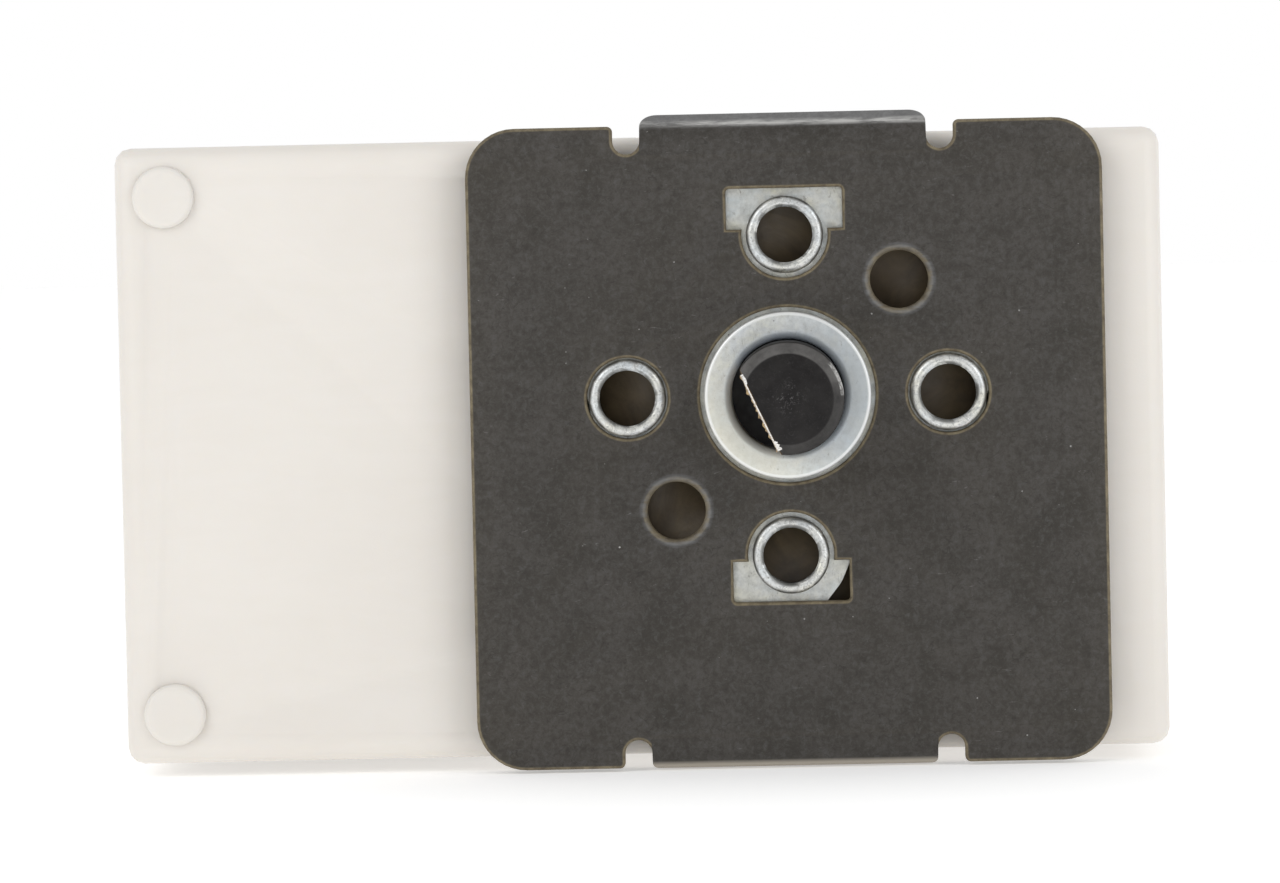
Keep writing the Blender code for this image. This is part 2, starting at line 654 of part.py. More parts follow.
def front_cover():
    obj = shell("front_cover", HOUSING_PARTING, HOUSING_FRONT, (CREAM, 0.42, 0.0))
    sink = COVER_INSIDE + WALL_OVERLAP
    for centre in pin_centres():
        join(obj, cylinder("pin_boss", PIN_BOSS_RADIUS, sink, HOUSING_PARTING, centre, 12))
    for centre in screw_centres():
        join(obj, cylinder("screw_boss", SCREW_BOSS_RADIUS, sink, HOUSING_PARTING, centre, 12))
    for side in (-1, 1):
        middle = HOUSING_CENTRE_Y + side * RIB_OFFSET
        rib_low = (CARRIER_END - 2.5 * MM, middle - RIB_HALF_THICKNESS, CARRIER_FRONT + GAP)
        rib_high = (RIB_RIGHT, middle + RIB_HALF_THICKNESS, sink)
        join(obj, box("hold_down_rib", rib_low, rib_high))
        join(obj, leaf_holder(side))
    for centre in pin_centres():
        cut(obj, cylinder("pin_hole", PIN_SHANK_RADIUS + GAP, HOUSING_FRONT + GAP, HOUSING_PARTING - GAP,
                          centre, 12))
    for centre in screw_centres():
        cut(obj, cylinder("pilot_hole", SCREW_SHANK_RADIUS + GAP, SCREW_TIP + 2 * GAP,
                          HOUSING_PARTING - GAP, centre, 12))
    recess_low = (-SHEET_HALF_WIDTH - GAP, SHEET_BOTTOM - GAP, HOUSING_FRONT - SHEET_THICKNESS - GAP)
    recess_high = (SHEET_HALF_WIDTH + GAP, SHEET_TOP + GAP, HOUSING_FRONT + GAP)
    cut(obj, box("sheet_recess", recess_low, recess_high, bevel=SHEET_CORNER, bevel_axis=2))
    for x in (-RIVET_X, RIVET_X):
        cut(obj, cylinder("rivet_hole", RIVET_RADIUS + GAP, HOUSING_FRONT + GAP, COVER_INSIDE - GAP,
                          (x, RIVET_Y), 12))
    cut(obj, cylinder("bush_bore", SPIGOT_RADIUS + GAP, HOUSING_FRONT + GAP, COVER_INSIDE - GAP))
    return obj


def leaf_holder(side):
    """Slotted post that grips one end of the detent leaf."""
    near = LEAF_POST_NEAR
    far = LEAF_POST_FAR
    low = (min(side * near, side * far), -10.8 * MM, -8.5 * MM)
    high = (max(side * near, side * far), -8.0 * MM, COVER_INSIDE + WALL_OVERLAP)
    post = box("leaf_post", low, high)
    slot_low = (min(side * (near - GAP * 5), side * 10.0 * MM), -9.85 * MM, -8.6 * MM)
    slot_high = (max(side * (near - GAP * 5), side * 10.0 * MM), -8.75 * MM, -4.3 * MM)
    cut(post, box("leaf_slot", slot_low, slot_high))
    return post


def rear_base():
    obj = shell("rear_base", HOUSING_PARTING - GAP, HOUSING_REAR, (CREAM, 0.45, 0.0))
    top = HOUSING_PARTING - GAP
    sink = BASE_INSIDE - WALL_OVERLAP
    for centre in pin_centres():
        join(obj, cylinder("pin_socket", PIN_BOSS_RADIUS, top, sink, centre, 12))
    for centre in screw_centres():
        join(obj, cylinder("screw_tube", SCREW_TUBE_RADIUS, top, sink, centre, 20))
    join(obj, cylinder("shaft_bearing", 4.4 * MM, BASE_INSIDE + 1.1 * MM, sink, segments=24))
    for side in (-1, 1):
        rail = HOUSING_CENTRE_Y + side * RAIL_OFFSET
        join(obj, box("slider_rail", (CARRIER_END - 2 * MM, rail - RAIL_HALF_THICKNESS, sink),
                      (RAIL_RIGHT, rail + RAIL_HALF_THICKNESS, CARRIER_REAR - GAP)))
        for left, right in SIDE_GUIDE_SPANS:
            near = HOUSING_CENTRE_Y + side * (CARRIER_HALF_HEIGHT + GAP)
            far = near + side * SIDE_GUIDE_THICKNESS
            join(obj, box("side_guide", (left, min(near, far), sink),
                          (right, max(near, far), CARRIER_WINDOW_REAR - GAP)))
    for angle in stop_angles():
        centre = (STOP_POST_CENTRE * math.cos(angle), STOP_POST_CENTRE * math.sin(angle))
        join(obj, cylinder("stop_post", STOP_POST_RADIUS, LUG_FRONT, sink, centre, 12))
    for x, y in terminal_places():
        half = TERMINAL_SHANK_WIDTH / 2 + TERMINAL_SHOULDER + 0.3 * MM
        join(obj, box("terminal_socket", (x - 1.7 * MM, y - half, sink),
                      (x + 1.7 * MM, y + half, -17.5 * MM)))
    join(obj, rear_barrier())
    for x, y in terminal_places():
        slot_half = BLADE_THICKNESS / 2 + GAP
        wide = TERMINAL_SHANK_WIDTH / 2 + TERMINAL_SHOULDER + GAP
        narrow = TERMINAL_SHANK_WIDTH / 2 + GAP
        cut(obj, box("shoulder_slot", (x - slot_half, y - wide, BASE_INSIDE),
                     (x + slot_half, y + wide, -17 * MM)),
            box("blade_slot", (x - slot_half, y - narrow, HOUSING_REAR - MM),
                (x + slot_half, y + narrow, BASE_INSIDE + MM)))
    for centre in pin_centres():
        cut(obj, cylinder("pin_hole", PIN_SHANK_RADIUS + GAP, top + GAP, PIN_END - 2 * GAP, centre, 12))
    for centre in screw_centres():
        cut(obj, cylinder("screw_hole", SCREW_SHANK_RADIUS + 3 * GAP, top + GAP, HOUSING_REAR - GAP,
                          centre, 20),
            cylinder("screw_recess", SCREW_HEAD_RADIUS + 3 * GAP, HOUSING_REAR + SCREW_RECESS_DEPTH,
                     HOUSING_REAR - GAP, centre, 20))
    cut(obj, cylinder("journal_bore", JOURNAL_RADIUS + RUNNING_GAP, BASE_INSIDE + 2 * MM,
                      JOURNAL_END - GAP, segments=24))
    return obj


def rear_barrier():
    """Crossed walls on the rear face that part the four blades."""
    left = HOUSING_LEFT + 2.5 * MM
    right = -13.5 * MM
    height = 4 * MM
    half = 0.6 * MM
    between = (terminal_x(0) + terminal_x(1)) / 2
    wall = box("row_wall", (left, HOUSING_CENTRE_Y - half, HOUSING_REAR - height),
               (right, HOUSING_CENTRE_Y + half, HOUSING_REAR + 0.5 * MM))
    reach = TERMINAL_OFFSET + BLADE_WIDTH / 2
    cross = box("pole_wall", (between - half, HOUSING_CENTRE_Y - reach, HOUSING_REAR - height),
                (between + half, HOUSING_CENTRE_Y + reach, HOUSING_REAR + 0.5 * MM))
    join(wall, cross)
    return wall


def stop_angles():
    """Where the two stop posts stand, just past each end of the lug's quarter turn."""
    post_half = math.asin(STOP_POST_RADIUS / STOP_POST_CENTRE)
    reach = LUG_HALF_ANGLE + post_half + STOP_CLEARANCE
    return (reach, -QUARTER_TURN - reach)


def closing_pin(name, centre):
    """Moulded pin with a round, soft-edged head on the cover's face."""
    front = HOUSING_FRONT + PIN_HEAD_HEIGHT
    under = HOUSING_FRONT + GAP / 2
    edge = 0.22 * MM
    head = [(PIN_HEAD_RADIUS - edge * (1 - math.cos(turn)), front - edge * (1 - math.sin(turn)))
            for turn in (math.radians(90 - 45 * step) for step in range(3))]
    profile = [(0, front)] + head + [(PIN_HEAD_RADIUS, under), (PIN_SHANK_RADIUS, under),
                                     (PIN_SHANK_RADIUS, PIN_END), (0, PIN_END)]
    return turned(name, profile, 24, (CREAM, 0.42, 0.0), location=(*centre, 0))


def case_screw(name, centre):
    """Self-tapping pan-head screw driven from the rear, with a cross recess."""
    floor = HOUSING_REAR + SCREW_RECESS_DEPTH - GAP
    head_top = floor - 1.5 * MM
    profile = [(0, SCREW_TIP), (0.35 * MM, SCREW_TIP), (SCREW_SHANK_RADIUS, SCREW_TIP - 1.2 * MM),
               (SCREW_SHANK_RADIUS, floor), (SCREW_HEAD_RADIUS, floor),
               (SCREW_HEAD_RADIUS, floor - 0.8 * MM), (1.5 * MM, head_top), (0, head_top)]
    obj = turned(name, profile, 16, (SPRING_STEEL, 0.3, 1.0), location=(*centre, 0))
    x, y = centre
    for long_x, long_y in ((1.2 * MM, 0.25 * MM), (0.25 * MM, 1.2 * MM)):
        cut(obj, box("recess", (x - long_x, y - long_y, head_top - MM), (x + long_x, y + long_y,
                                                                         head_top + 0.9 * MM)))
    return obj


# ---------------------------------------------------------------- rotor

def shaft():
    chamfer = SHAFT_RADIUS - SHAFT_CHAMFER
    clip_rear = CLIP_FRONT - CLIP_THICKNESS
    profile = [(0, SHAFT_FRONT), (chamfer, SHAFT_FRONT), (SHAFT_RADIUS, SHAFT_FRONT - SHAFT_CHAMFER),
               (SHAFT_RADIUS, CLIP_FRONT + GAP / 2), (GROOVE_RADIUS, CLIP_FRONT + GAP / 2),
               (GROOVE_RADIUS, clip_rear - GAP / 2), (SHAFT_RADIUS, clip_rear - GAP / 2),
               (SHAFT_RADIUS, clip_rear - 0.45 * MM), (JOURNAL_RADIUS, clip_rear - 0.45 * MM),
               (JOURNAL_RADIUS, JOURNAL_END), (0, JOURNAL_END)]
    obj = turned("shaft", profile, 36, (BLACK_OXIDE, 0.35, 0.9), rotor_axis)
    cut(obj, flat_block("shaft_flat", SHAFT_FLAT_OFFSET, SHAFT_FRONT + MM, DRUM_REAR - GAP))
    return obj


def flat_block(name, offset, front, rear):
    """Block that removes everything beyond the shaft's flat."""
    bm = bmesh.new()
    bmesh.ops.create_cube(bm, size=1.0)
    size = 6 * MM
    centre = Matrix.Translation((offset + size / 2, 0, (front + rear) / 2))
    move = Matrix.Rotation(SHAFT_FLAT_ANGLE, 4, 'Z') @ centre
    bmesh.ops.transform(bm, matrix=move @ Matrix.Diagonal((size, 2 * size, front - rear, 1)), verts=bm.verts)
    return add_object(name, mesh_from(bm, name), assembly)


def cam_outline():
    """Linear-lift cam for a flat follower on its -X side: its reach grows evenly with its turn."""
    start = math.pi - CAM_OVERRUN
    end = math.pi + QUARTER_TURN + CAM_OVERRUN
    points = []
    steps = 18
    for step in range(steps + 1):
        normal = start + (end - start) * step / steps
        reach = CAM_BASE_RADIUS + CAM_LIFT * (normal - math.pi)
        points.append((reach * math.cos(normal) - CAM_LIFT * math.sin(normal),
                       reach * math.sin(normal) + CAM_LIFT * math.cos(normal)))
    back_radius = CAM_BASE_RADIUS - CAM_LIFT * CAM_OVERRUN - 2 * GAP
    return points + arc((0, 0), back_radius, -math.radians(40), math.radians(160), 10)


def detent_outline():
    """Wheel with a round notch at each quarter turn."""
    points = []
    cosine = (NOTCH_CENTRE ** 2 + DETENT_RADIUS ** 2 - NOTCH_RADIUS ** 2) / (2 * NOTCH_CENTRE * DETENT_RADIUS)
    half = math.acos(cosine)
    for quarter in range(4):
        middle = math.pi / 2 * quarter
        centre = (NOTCH_CENTRE * math.cos(middle), NOTCH_CENTRE * math.sin(middle))
        rim = DETENT_RADIUS * math.sin(half) / NOTCH_RADIUS
        open_angle = math.pi - math.asin(rim)
        if DETENT_RADIUS * math.cos(half) > NOTCH_CENTRE:
            open_angle = math.asin(rim)
        points += arc(centre, NOTCH_RADIUS, middle + FULL_TURN - open_angle, middle + open_angle, 6)[1:-1]
        points += arc((0, 0), DETENT_RADIUS, middle + half, middle + math.pi / 2 - half, 6)
    return points


def lug_outline():
    inner = HUB_RADIUS - 0.5 * MM
    return (arc((0, 0), LUG_RADIUS, -LUG_HALF_ANGLE, LUG_HALF_ANGLE, 4)
            + arc((0, 0), inner, LUG_HALF_ANGLE, -LUG_HALF_ANGLE, 2))


def cam_drum():
    """Detent wheel, cam and stop lug on one hub, bored to fit the D-shaft."""
    obj = cylinder("cam_drum", HUB_RADIUS, DRUM_FRONT - 0.2 * MM, DRUM_REAR, segments=28,
                   finish=(GREY_PLASTIC, 0.5, 0.0), parent=rotor_axis)
    join(obj, plate("wheel", [detent_outline()], DRUM_FRONT, DETENT_REAR),
         plate("cam", [cam_outline()], CAM_FRONT, CAM_REAR),
         plate("lug", [lug_outline()], LUG_FRONT, DRUM_REAR + 0.1 * MM))
    bore = cylinder("bore", SHAFT_RADIUS + RUNNING_GAP, DRUM_FRONT + MM, DRUM_REAR - MM, segments=36)
    cut(bore, flat_block("bore_flat", SHAFT_FLAT_OFFSET + RUNNING_GAP, DRUM_FRONT + 2 * MM,
                         DRUM_REAR - 2 * MM))
    cut(obj, bore)
    return obj


def thrust_washer():
    front = COVER_INSIDE - GAP
    outlines = [circle(WASHER_RADIUS, segments=24), circle(SHAFT_RADIUS + GAP, segments=24)]
    return plate("thrust_washer", outlines, front, DRUM_FRONT + GAP, (SPRING_STEEL, 0.4, 1.0), rotor_axis)


def retaining_clip():
    """E-clip in the shaft groove behind the drum."""
    inner = GROOVE_RADIUS + RUNNING_GAP
    opening = math.radians(40)
    points = arc((0, 0), 4.1 * MM, opening, FULL_TURN - opening, 16)
    points += arc((0, 0), inner, FULL_TURN - opening, opening, 14)
    return plate("retaining_clip", [points], CLIP_FRONT - GAP / 2, CLIP_FRONT - CLIP_THICKNESS + GAP / 2,
                 (SPRING_STEEL, 0.3, 1.0), rotor_axis)


def detent_leaf_spring():
    """Spring strip below the wheel, with a round nose resting in its lower notch."""
    nose = 1.0 * MM
    nose_y = -7.4 * MM
    slope = math.radians(40)
    shoulder = (nose * math.sin(slope) + 1.4 * MM, -8.35 * MM)
    left = [(-LEAF_HALF_LENGTH, -9.3 * MM), (-8.6 * MM, -9.3 * MM), (-shoulder[0], shoulder[1])]
    peak = arc((0, nose_y), nose, math.pi / 2 + slope, math.pi / 2 - slope, 8)
    points = left + peak + [(-x, y) for x, y in reversed(left)]
    bm = bmesh.new()
    front = -4.7 * MM
    rear = -7.9 * MM
    rows = [[bm.verts.new((x, y, z)) for x, y in points] for z in (front, rear)]
    for index in range(len(points) - 1):
        bm.faces.new((rows[0][index], rows[0][index + 1], rows[1][index + 1], rows[1][index]))
    obj = add_object("detent_leaf_spring", mesh_from(bm, "detent_leaf_spring"), assembly,
                     (SPRING_STEEL, 0.28, 1.0))
    thicken = obj.modifiers.new("thickness", 'SOLIDIFY')
    thicken.thickness = LEAF_THICKNESS
    thicken.offset = -1
    apply_modifiers(obj)
    return obj


# ---------------------------------------------------------------- contacts

def window_left(pole):
    return WINDOW_RIGHTS[pole] - CARRIER_WINDOW_LENGTH


def bridge_left(pole):
    return window_left(pole) + GAP


def fixed_face(pole):
    """X of the fixed contacts' faces, one contact gap to the left of the moving ones."""
    return bridge_left(pole) - TIP_HEIGHT - CONTACT_GAP


def terminal_x(pole):
    return fixed_face(pole) - TIP_HEIGHT - BLADE_THICKNESS / 2


def terminal_places():
    return [(terminal_x(pole), HOUSING_CENTRE_Y + side * TERMINAL_OFFSET)
            for pole in (0, 1) for side in (1, -1)]


def contact_carrier():
    low_y = HOUSING_CENTRE_Y - CARRIER_HALF_HEIGHT
    high_y = HOUSING_CENTRE_Y + CARRIER_HALF_HEIGHT
    obj = box("contact_carrier", (CARRIER_END, low_y, CARRIER_REAR), (CARRIER_FACE, high_y, CARRIER_FRONT),
              (BROWN_PLASTIC, 0.5, 0.0), carrier_slide, 0.4 * MM, 2)
    for right in WINDOW_RIGHTS:
        cut(obj, box("window", (right - CARRIER_WINDOW_LENGTH, low_y - MM, CARRIER_WINDOW_REAR),
                     (right, high_y + MM, CARRIER_WINDOW_FRONT)))
    for side in (-1, 1):
        centre = (HOUSING_CENTRE_Y + side * RETURN_SPRING_OFFSET, CONTACT_DEPTH)
        cut(obj, cylinder_x("pocket", POCKET_RADIUS, CARRIER_END - MM, CARRIER_END + POCKET_DEPTH, centre))
    return obj


def contact_bridge(pole):
    left = bridge_left(pole)
    name = f"contact_bridge_{pole + 1}"
    obj = box(name, (left, HOUSING_CENTRE_Y - BRIDGE_HALF_LENGTH, CONTACT_DEPTH - BRIDGE_HALF_WIDTH),
              (left + BRIDGE_THICKNESS, HOUSING_CENTRE_Y + BRIDGE_HALF_LENGTH,
               CONTACT_DEPTH + BRIDGE_HALF_WIDTH),
              (COPPER, 0.3, 1.0), carrier_slide, 1.2 * MM, 0)
    for side in (-1, 1):
        centre = (HOUSING_CENTRE_Y + side * CONTACT_OFFSET, CONTACT_DEPTH)
        cut(obj, cylinder_x("rivet_hole", SHANK_RADIUS + GAP, left - MM, left + 2 * MM, centre, 12))
    return obj


def contact_rivet(name, face, facing, y, parent):
    """Silver rivet through a strip: its domed head's face is at X = face, looking along facing (+1 or -1)."""
    half = GAP / 2
    strip = TIP_HEIGHT - half
    back = TIP_HEIGHT + BLADE_THICKNESS + half
    profile = [(0, 0), (TIP_RADIUS * 0.7, -0.03 * MM), (TIP_RADIUS, -0.18 * MM), (TIP_RADIUS, -strip),
               (SHANK_RADIUS, -strip), (SHANK_RADIUS, -back), (1.1 * MM, -back),
               (1.0 * MM, -back - 0.25 * MM), (0, -back - 0.25 * MM)]
    rotation = (0, facing * math.pi / 2, 0)
    return turned(name, profile, 12, (SILVER, 0.25, 1.0), parent, (face, y, CONTACT_DEPTH), rotation)


def terminal(name, x, y):
    """Blade terminal: drawn with its depth along local X, then turned to stand across the slider's line."""
    inner = TERMINAL_SHANK_WIDTH / 2 + TERMINAL_SHOULDER
    shank = TERMINAL_SHANK_WIDTH / 2
    blade = BLADE_WIDTH / 2
    shoulder = -BASE_INSIDE - GAP
    tip = -BLADE_END
    half = [(-TERMINAL_FRONT, inner, TERMINAL_FRONT_CORNER), (shoulder, inner, 0), (shoulder, shank, 0),
            (-TAB_STOP, shank, 0), (-TAB_STOP, blade, 0), (tip - TAB_TAPER, blade, 0),
            (tip, blade - TAB_CHAMFER, TAB_CORNER)]
    corners = half + [(depth, -across, radius) for depth, across, radius in reversed(half)]
    contact_y = math.copysign(CONTACT_OFFSET - TERMINAL_OFFSET, HOUSING_CENTRE_Y - y)
    holes = [circle(SHANK_RADIUS + GAP, (-CONTACT_DEPTH, contact_y), 12),
             circle(TAB_HOLE_RADIUS, (tip - TAB_HOLE_FROM_TIP, 0), 16)]
    bm = outline_mesh(name, [rounded(corners, 3)] + holes, BLADE_THICKNESS)
    return add_object(name, mesh_from(bm, name), assembly, (BRASS, 0.3, 1.0), (x, y, 0), (0, math.pi / 2, 0))


def make_poles():
    for pole in (0, 1):
        number = pole + 1
        contact_bridge(pole)
        spring_left = bridge_left(pole) + BRIDGE_THICKNESS + GAP
        coil(f"contact_spring_{number}", spring_left, WINDOW_RIGHTS[pole] - GAP,
             (HOUSING_CENTRE_Y, CONTACT_DEPTH), CONTACT_SPRING_RADIUS, 4, (SPRING_STEEL, 0.3, 1.0),
             carrier_slide)
        for letter, side in (("a", 1), ("b", -1)):
            y = HOUSING_CENTRE_Y + side * CONTACT_OFFSET
            mark = f"{number}{letter}"
            contact_rivet(f"moving_contact_{mark}", bridge_left(pole) - TIP_HEIGHT, -1, y, carrier_slide)
            contact_rivet(f"fixed_contact_{mark}", fixed_face(pole), 1, y, assembly)
            terminal(f"terminal_{mark}", terminal_x(pole), HOUSING_CENTRE_Y + side * TERMINAL_OFFSET)


def make_return_springs():
    left = HOUSING_LEFT + HOUSING_WALL + GAP
    right = CARRIER_END + POCKET_DEPTH - GAP
    for name, side in (("return_spring_upper", 1), ("return_spring_lower", -1)):
        centre = (HOUSING_CENTRE_Y + side * RETURN_SPRING_OFFSET, CONTACT_DEPTH)
        coil(name, left, right, centre, RETURN_SPRING_RADIUS, 6, (SPRING_STEEL, 0.3, 1.0), assembly)


# ---------------------------------------------------------------- build

clear_scene()
parts = make_collection("rotary_isolator_switch")
tools = make_collection("cutters")
assembly = make_empty("assembly")
assembly.rotation_euler = (math.pi / 2, 0, 0)
rotor_axis = make_empty("rotor_axis", assembly)
carrier_slide = make_empty("carrier_slide", assembly)
bpy.context.view_layer.update()

mounting_plate()
bush_plate()
shaft_bush()
plate_rivet("plate_rivet_left", -RIVET_X)
plate_rivet("plate_rivet_right", RIVET_X)
front_cover()
insulating_sheet()
rear_base()
for pin_name, pin_centre in zip(("closing_pin_upper", "closing_pin_lower"), pin_centres()):
    closing_pin(pin_name, pin_centre)
for screw_name, screw_centre in zip(("case_screw_upper", "case_screw_lower"), screw_centres()):
    case_screw(screw_name, screw_centre)
shaft()
cam_drum()
thrust_washer()
retaining_clip()
detent_leaf_spring()
contact_carrier()
make_poles()
make_return_springs()
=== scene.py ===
"""Looks of the rotary isolator switch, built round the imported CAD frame.

Shapes are drawn as the front view shows them, in millimetres: X to the right, Y up, Z towards the viewer,
with the shaft on the Z axis and Z = 0 at the mounting plate's front. DRAWING turns that into the row frame.
"""
import json
import math
import random

import bmesh
import bpy
from mathutils import Matrix, Vector


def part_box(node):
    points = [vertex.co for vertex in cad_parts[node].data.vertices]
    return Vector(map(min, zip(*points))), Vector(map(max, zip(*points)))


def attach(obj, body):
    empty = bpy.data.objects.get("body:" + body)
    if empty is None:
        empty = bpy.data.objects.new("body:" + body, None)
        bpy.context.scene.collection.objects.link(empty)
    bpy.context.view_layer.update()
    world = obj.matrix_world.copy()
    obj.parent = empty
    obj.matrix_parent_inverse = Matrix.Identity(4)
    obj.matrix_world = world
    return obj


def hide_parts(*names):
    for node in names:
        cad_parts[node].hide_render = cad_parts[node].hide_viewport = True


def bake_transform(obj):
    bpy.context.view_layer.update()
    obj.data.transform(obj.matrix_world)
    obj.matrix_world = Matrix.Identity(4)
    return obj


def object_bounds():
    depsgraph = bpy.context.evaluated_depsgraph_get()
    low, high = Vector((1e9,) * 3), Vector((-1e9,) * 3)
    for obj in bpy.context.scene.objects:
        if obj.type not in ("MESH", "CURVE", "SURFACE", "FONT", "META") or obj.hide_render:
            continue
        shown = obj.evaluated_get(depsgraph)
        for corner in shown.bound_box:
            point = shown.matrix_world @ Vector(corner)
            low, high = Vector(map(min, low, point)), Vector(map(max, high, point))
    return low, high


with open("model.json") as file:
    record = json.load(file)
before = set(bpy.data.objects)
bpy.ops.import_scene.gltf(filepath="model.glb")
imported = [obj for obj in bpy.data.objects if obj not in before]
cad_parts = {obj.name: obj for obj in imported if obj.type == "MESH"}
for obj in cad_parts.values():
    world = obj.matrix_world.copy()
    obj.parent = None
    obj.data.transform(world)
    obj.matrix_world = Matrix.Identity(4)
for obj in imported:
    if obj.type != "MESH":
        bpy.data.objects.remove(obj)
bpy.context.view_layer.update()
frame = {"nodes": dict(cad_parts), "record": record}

MM = 0.001
DRAWING = Matrix(((MM, 0, 0, 0), (0, 0, -MM, 0), (0, MM, 0, 0), (0, 0, 0, 1)))
FULL_TURN = 2 * math.pi
QUARTER_TURN = math.pi / 2
GAP = 0.1
CUT_PAST = 0.5

# Points nearer than these are taken for one
MERGE = 0.002
OUTLINE_MERGE = 0.001
FINE_MERGE = 0.0005

# Housing
CENTRE_Y = -2.7

# Mounting plate
PLATE_WIDTH = 34.65
PLATE_HEIGHT = 35.0
PLATE_THICKNESS = 0.8
PLATE_CORNER = 2.7
LIP_HALF_WIDTH = 7.8
NOTCH_WIDTH = 1.47
NOTCH_DEPTH = 1.53
NOTCH_CORNER = 0.3
BEND_RADIUS = 1.3
BEND_STEPS = 10
# Each lip: where its bend starts, the bend's angle, the flat beyond it and its corners' radius
UPPER_LIP = (16.42, math.radians(55), 1.2, 0.95)
LOWER_LIP = (16.3, math.radians(85), 0.6, 1.1)
# Heights from the plate's middle where the painted light changes on the lips: the tan edge highlight stops
# at the lips, the upper lip turns lighter, a highlight line runs along it, and the lower lip's bend turns
# lighter
LIPS_START = LOWER_LIP[0] - 0.4
UPPER_SHINE = UPPER_LIP[0] + 0.85
UPPER_HIGHLIGHT_LINE = UPPER_LIP[0] + 1.15
LOWER_SHINE = LOWER_LIP[0] + 0.85
WINDOW_HALF_WIDTH = 3.17
WINDOW_INNER = 9.05
WINDOW_OUTER = 11.27
WINDOW_ROUND = 2.35
WINDOW_CORNER = 0.2
PLAIN_HOLE_RADIUS = 1.58
PLAIN_HOLE_ROLL = 0.36
EDGE_ROLL = 0.2
ROLL_STEPS = 4
COLLAR_CLEARANCE = 0.23
BOSS_CLEARANCE = 0.1

# Bush plate, bosses and collar
FIXING_RADIUS = 8.74
BOSS_ANGLES = (0, 90, 180, 270)
BESIDE_ANGLES = (0, 180)
PLAIN_HOLE_ANGLES = (45, 225)
BUSH_FRONT = -0.9
BUSH_REAR = -1.7
BOSS_RADIUS = 2.1
BOSS_BORE = 1.52
BOSS_FRONT = 0.15
BOSS_EDGE = 0.32
BORE_MOUTH = 0.14
THREAD_START = BOSS_FRONT - 0.15
THREAD_PITCH = 0.6
THREAD_DEPTH = 0.2
COLLAR_RADIUS = 4.55
COLLAR_FRONT = 0.45
COLLAR_SHOULDER = -0.85
SPIGOT_RADIUS = 3.9
SPIGOT_END = -3.6
COLLAR_BORE = 3.06
COLLAR_RIM = 0.16
COLLAR_THROAT = 0.44
RIVET_X = 12.6
RIVET_Y = -0.7
RIVET_HEAD_RADIUS = 1.9
RIVET_SHANK_RADIUS = 1.1
RIVET_CUT_PAST = 0.1

# Shaft
SHAFT_RADIUS = 3.0
SHAFT_FRONT = 8.0
SHAFT_CHAMFER = 0.6
SHAFT_SOFTENING = 0.07
FLAT_OFFSET = 1.65
FLAT_ANGLE = math.radians(205)
CHAMFER_BRIGHT_ARC = (math.radians(2), math.radians(41))
CLIP_FRONT = -19.55
CLIP_REAR = -20.25
GROOVE_RADIUS = 2.1
JOURNAL_RADIUS = 2.2
JOURNAL_START = -20.65
JOURNAL_END = -22.9
BURR_SEED = 7
BURR_ROWS = 46
BURR_INSET = 0.2
BURR_CREST = 0.03

# Closing pins
PIN_X = -33.95
PIN_YS = (11.48, -16.88)
PIN_HEAD_RADIUS = 1.7
PIN_HEAD_EDGE = 0.34
PIN_FRONT = -1.3
PIN_UNDER = -1.795
PIN_SHANK_RADIUS = 1.0
PIN_END = -16.0

# Springs
SPRING_WIRE = 0.4
CLOSED_PITCH = SPRING_WIRE * 1.05
RETURN_TURNS = 6
CONTACT_TURNS = 4
SPRING_STEPS = 24
WIRE_SIDES = 12


# ---------------------------------------------------------------- mesh helpers

def body_of(node):
    bodies = frame["record"]["behaviour"]["bodies"]
    return next(body for body, nodes in bodies.items() if node in nodes)


def arc(centre, radius, start, end, steps):
    """Points on an arc, both ends included, anticlockwise from +X."""
    return [(centre[0] + radius * math.cos(start + (end - start) * i / steps),
             centre[1] + radius * math.sin(start + (end - start) * i / steps)) for i in range(steps + 1)]


def rounded_rim(radius, front, edge):
    """(radius, z) points over a rounded front edge, from its face to its side."""
    return [(radius - edge * (1 - math.cos(turn)), front - edge * (1 - math.sin(turn)))
            for turn in (QUARTER_TURN * (1 - step / 6) for step in range(7))]


def circle(radius, centre=(0, 0), segments=96):
    return arc(centre, radius, 0, FULL_TURN * (segments - 1) / segments, segments - 1)


def rounded(corners, steps=10):
    """An outline from (x, y, radius) corners, each rounded to its radius."""
    points = []
    count = len(corners)
    for index, (x, y, radius) in enumerate(corners):
        corner = Vector((x, y))
        if radius <= 0:
            points.append((x, y))
            continue
        before = (Vector(corners[index - 1][:2]) - corner).normalized()
        after = (Vector(corners[(index + 1) % count][:2]) - corner).normalized()
        half = before.angle(after) / 2
        start = corner + before * (radius / math.tan(half))
        centre = corner + (before + after).normalized() * (radius / math.sin(half))
        spoke = start - centre
        turn = (math.pi - 2 * half) * (1 if before.cross(after) < 0 else -1)
        for step in range(steps + 1):
            point = centre + Matrix.Rotation(turn * step / steps, 2) @ spoke
            points.append((point.x, point.y))
    return points


def make_object(name, bm):
    mesh = bpy.data.meshes.new(name)
    bm.to_mesh(mesh)
    bm.free()
    obj = bpy.data.objects.new(name, mesh)
    bpy.context.scene.collection.objects.link(obj)
    return obj


def settle(obj):
    """Applies an object's modifiers and welds what they leave."""
    bpy.context.view_layer.update()
    graph = bpy.context.evaluated_depsgraph_get()
    made = bpy.data.meshes.new_from_object(obj.evaluated_get(graph))
    obj.modifiers.clear()
    old = obj.data
    obj.data = made
    bpy.data.meshes.remove(old)
    bm = bmesh.new()
    bm.from_mesh(made)
    bmesh.ops.remove_doubles(bm, verts=bm.verts, dist=MERGE)
    bmesh.ops.dissolve_degenerate(bm, edges=bm.edges, dist=MERGE / 2)
    bm.to_mesh(made)
    bm.free()
    return obj


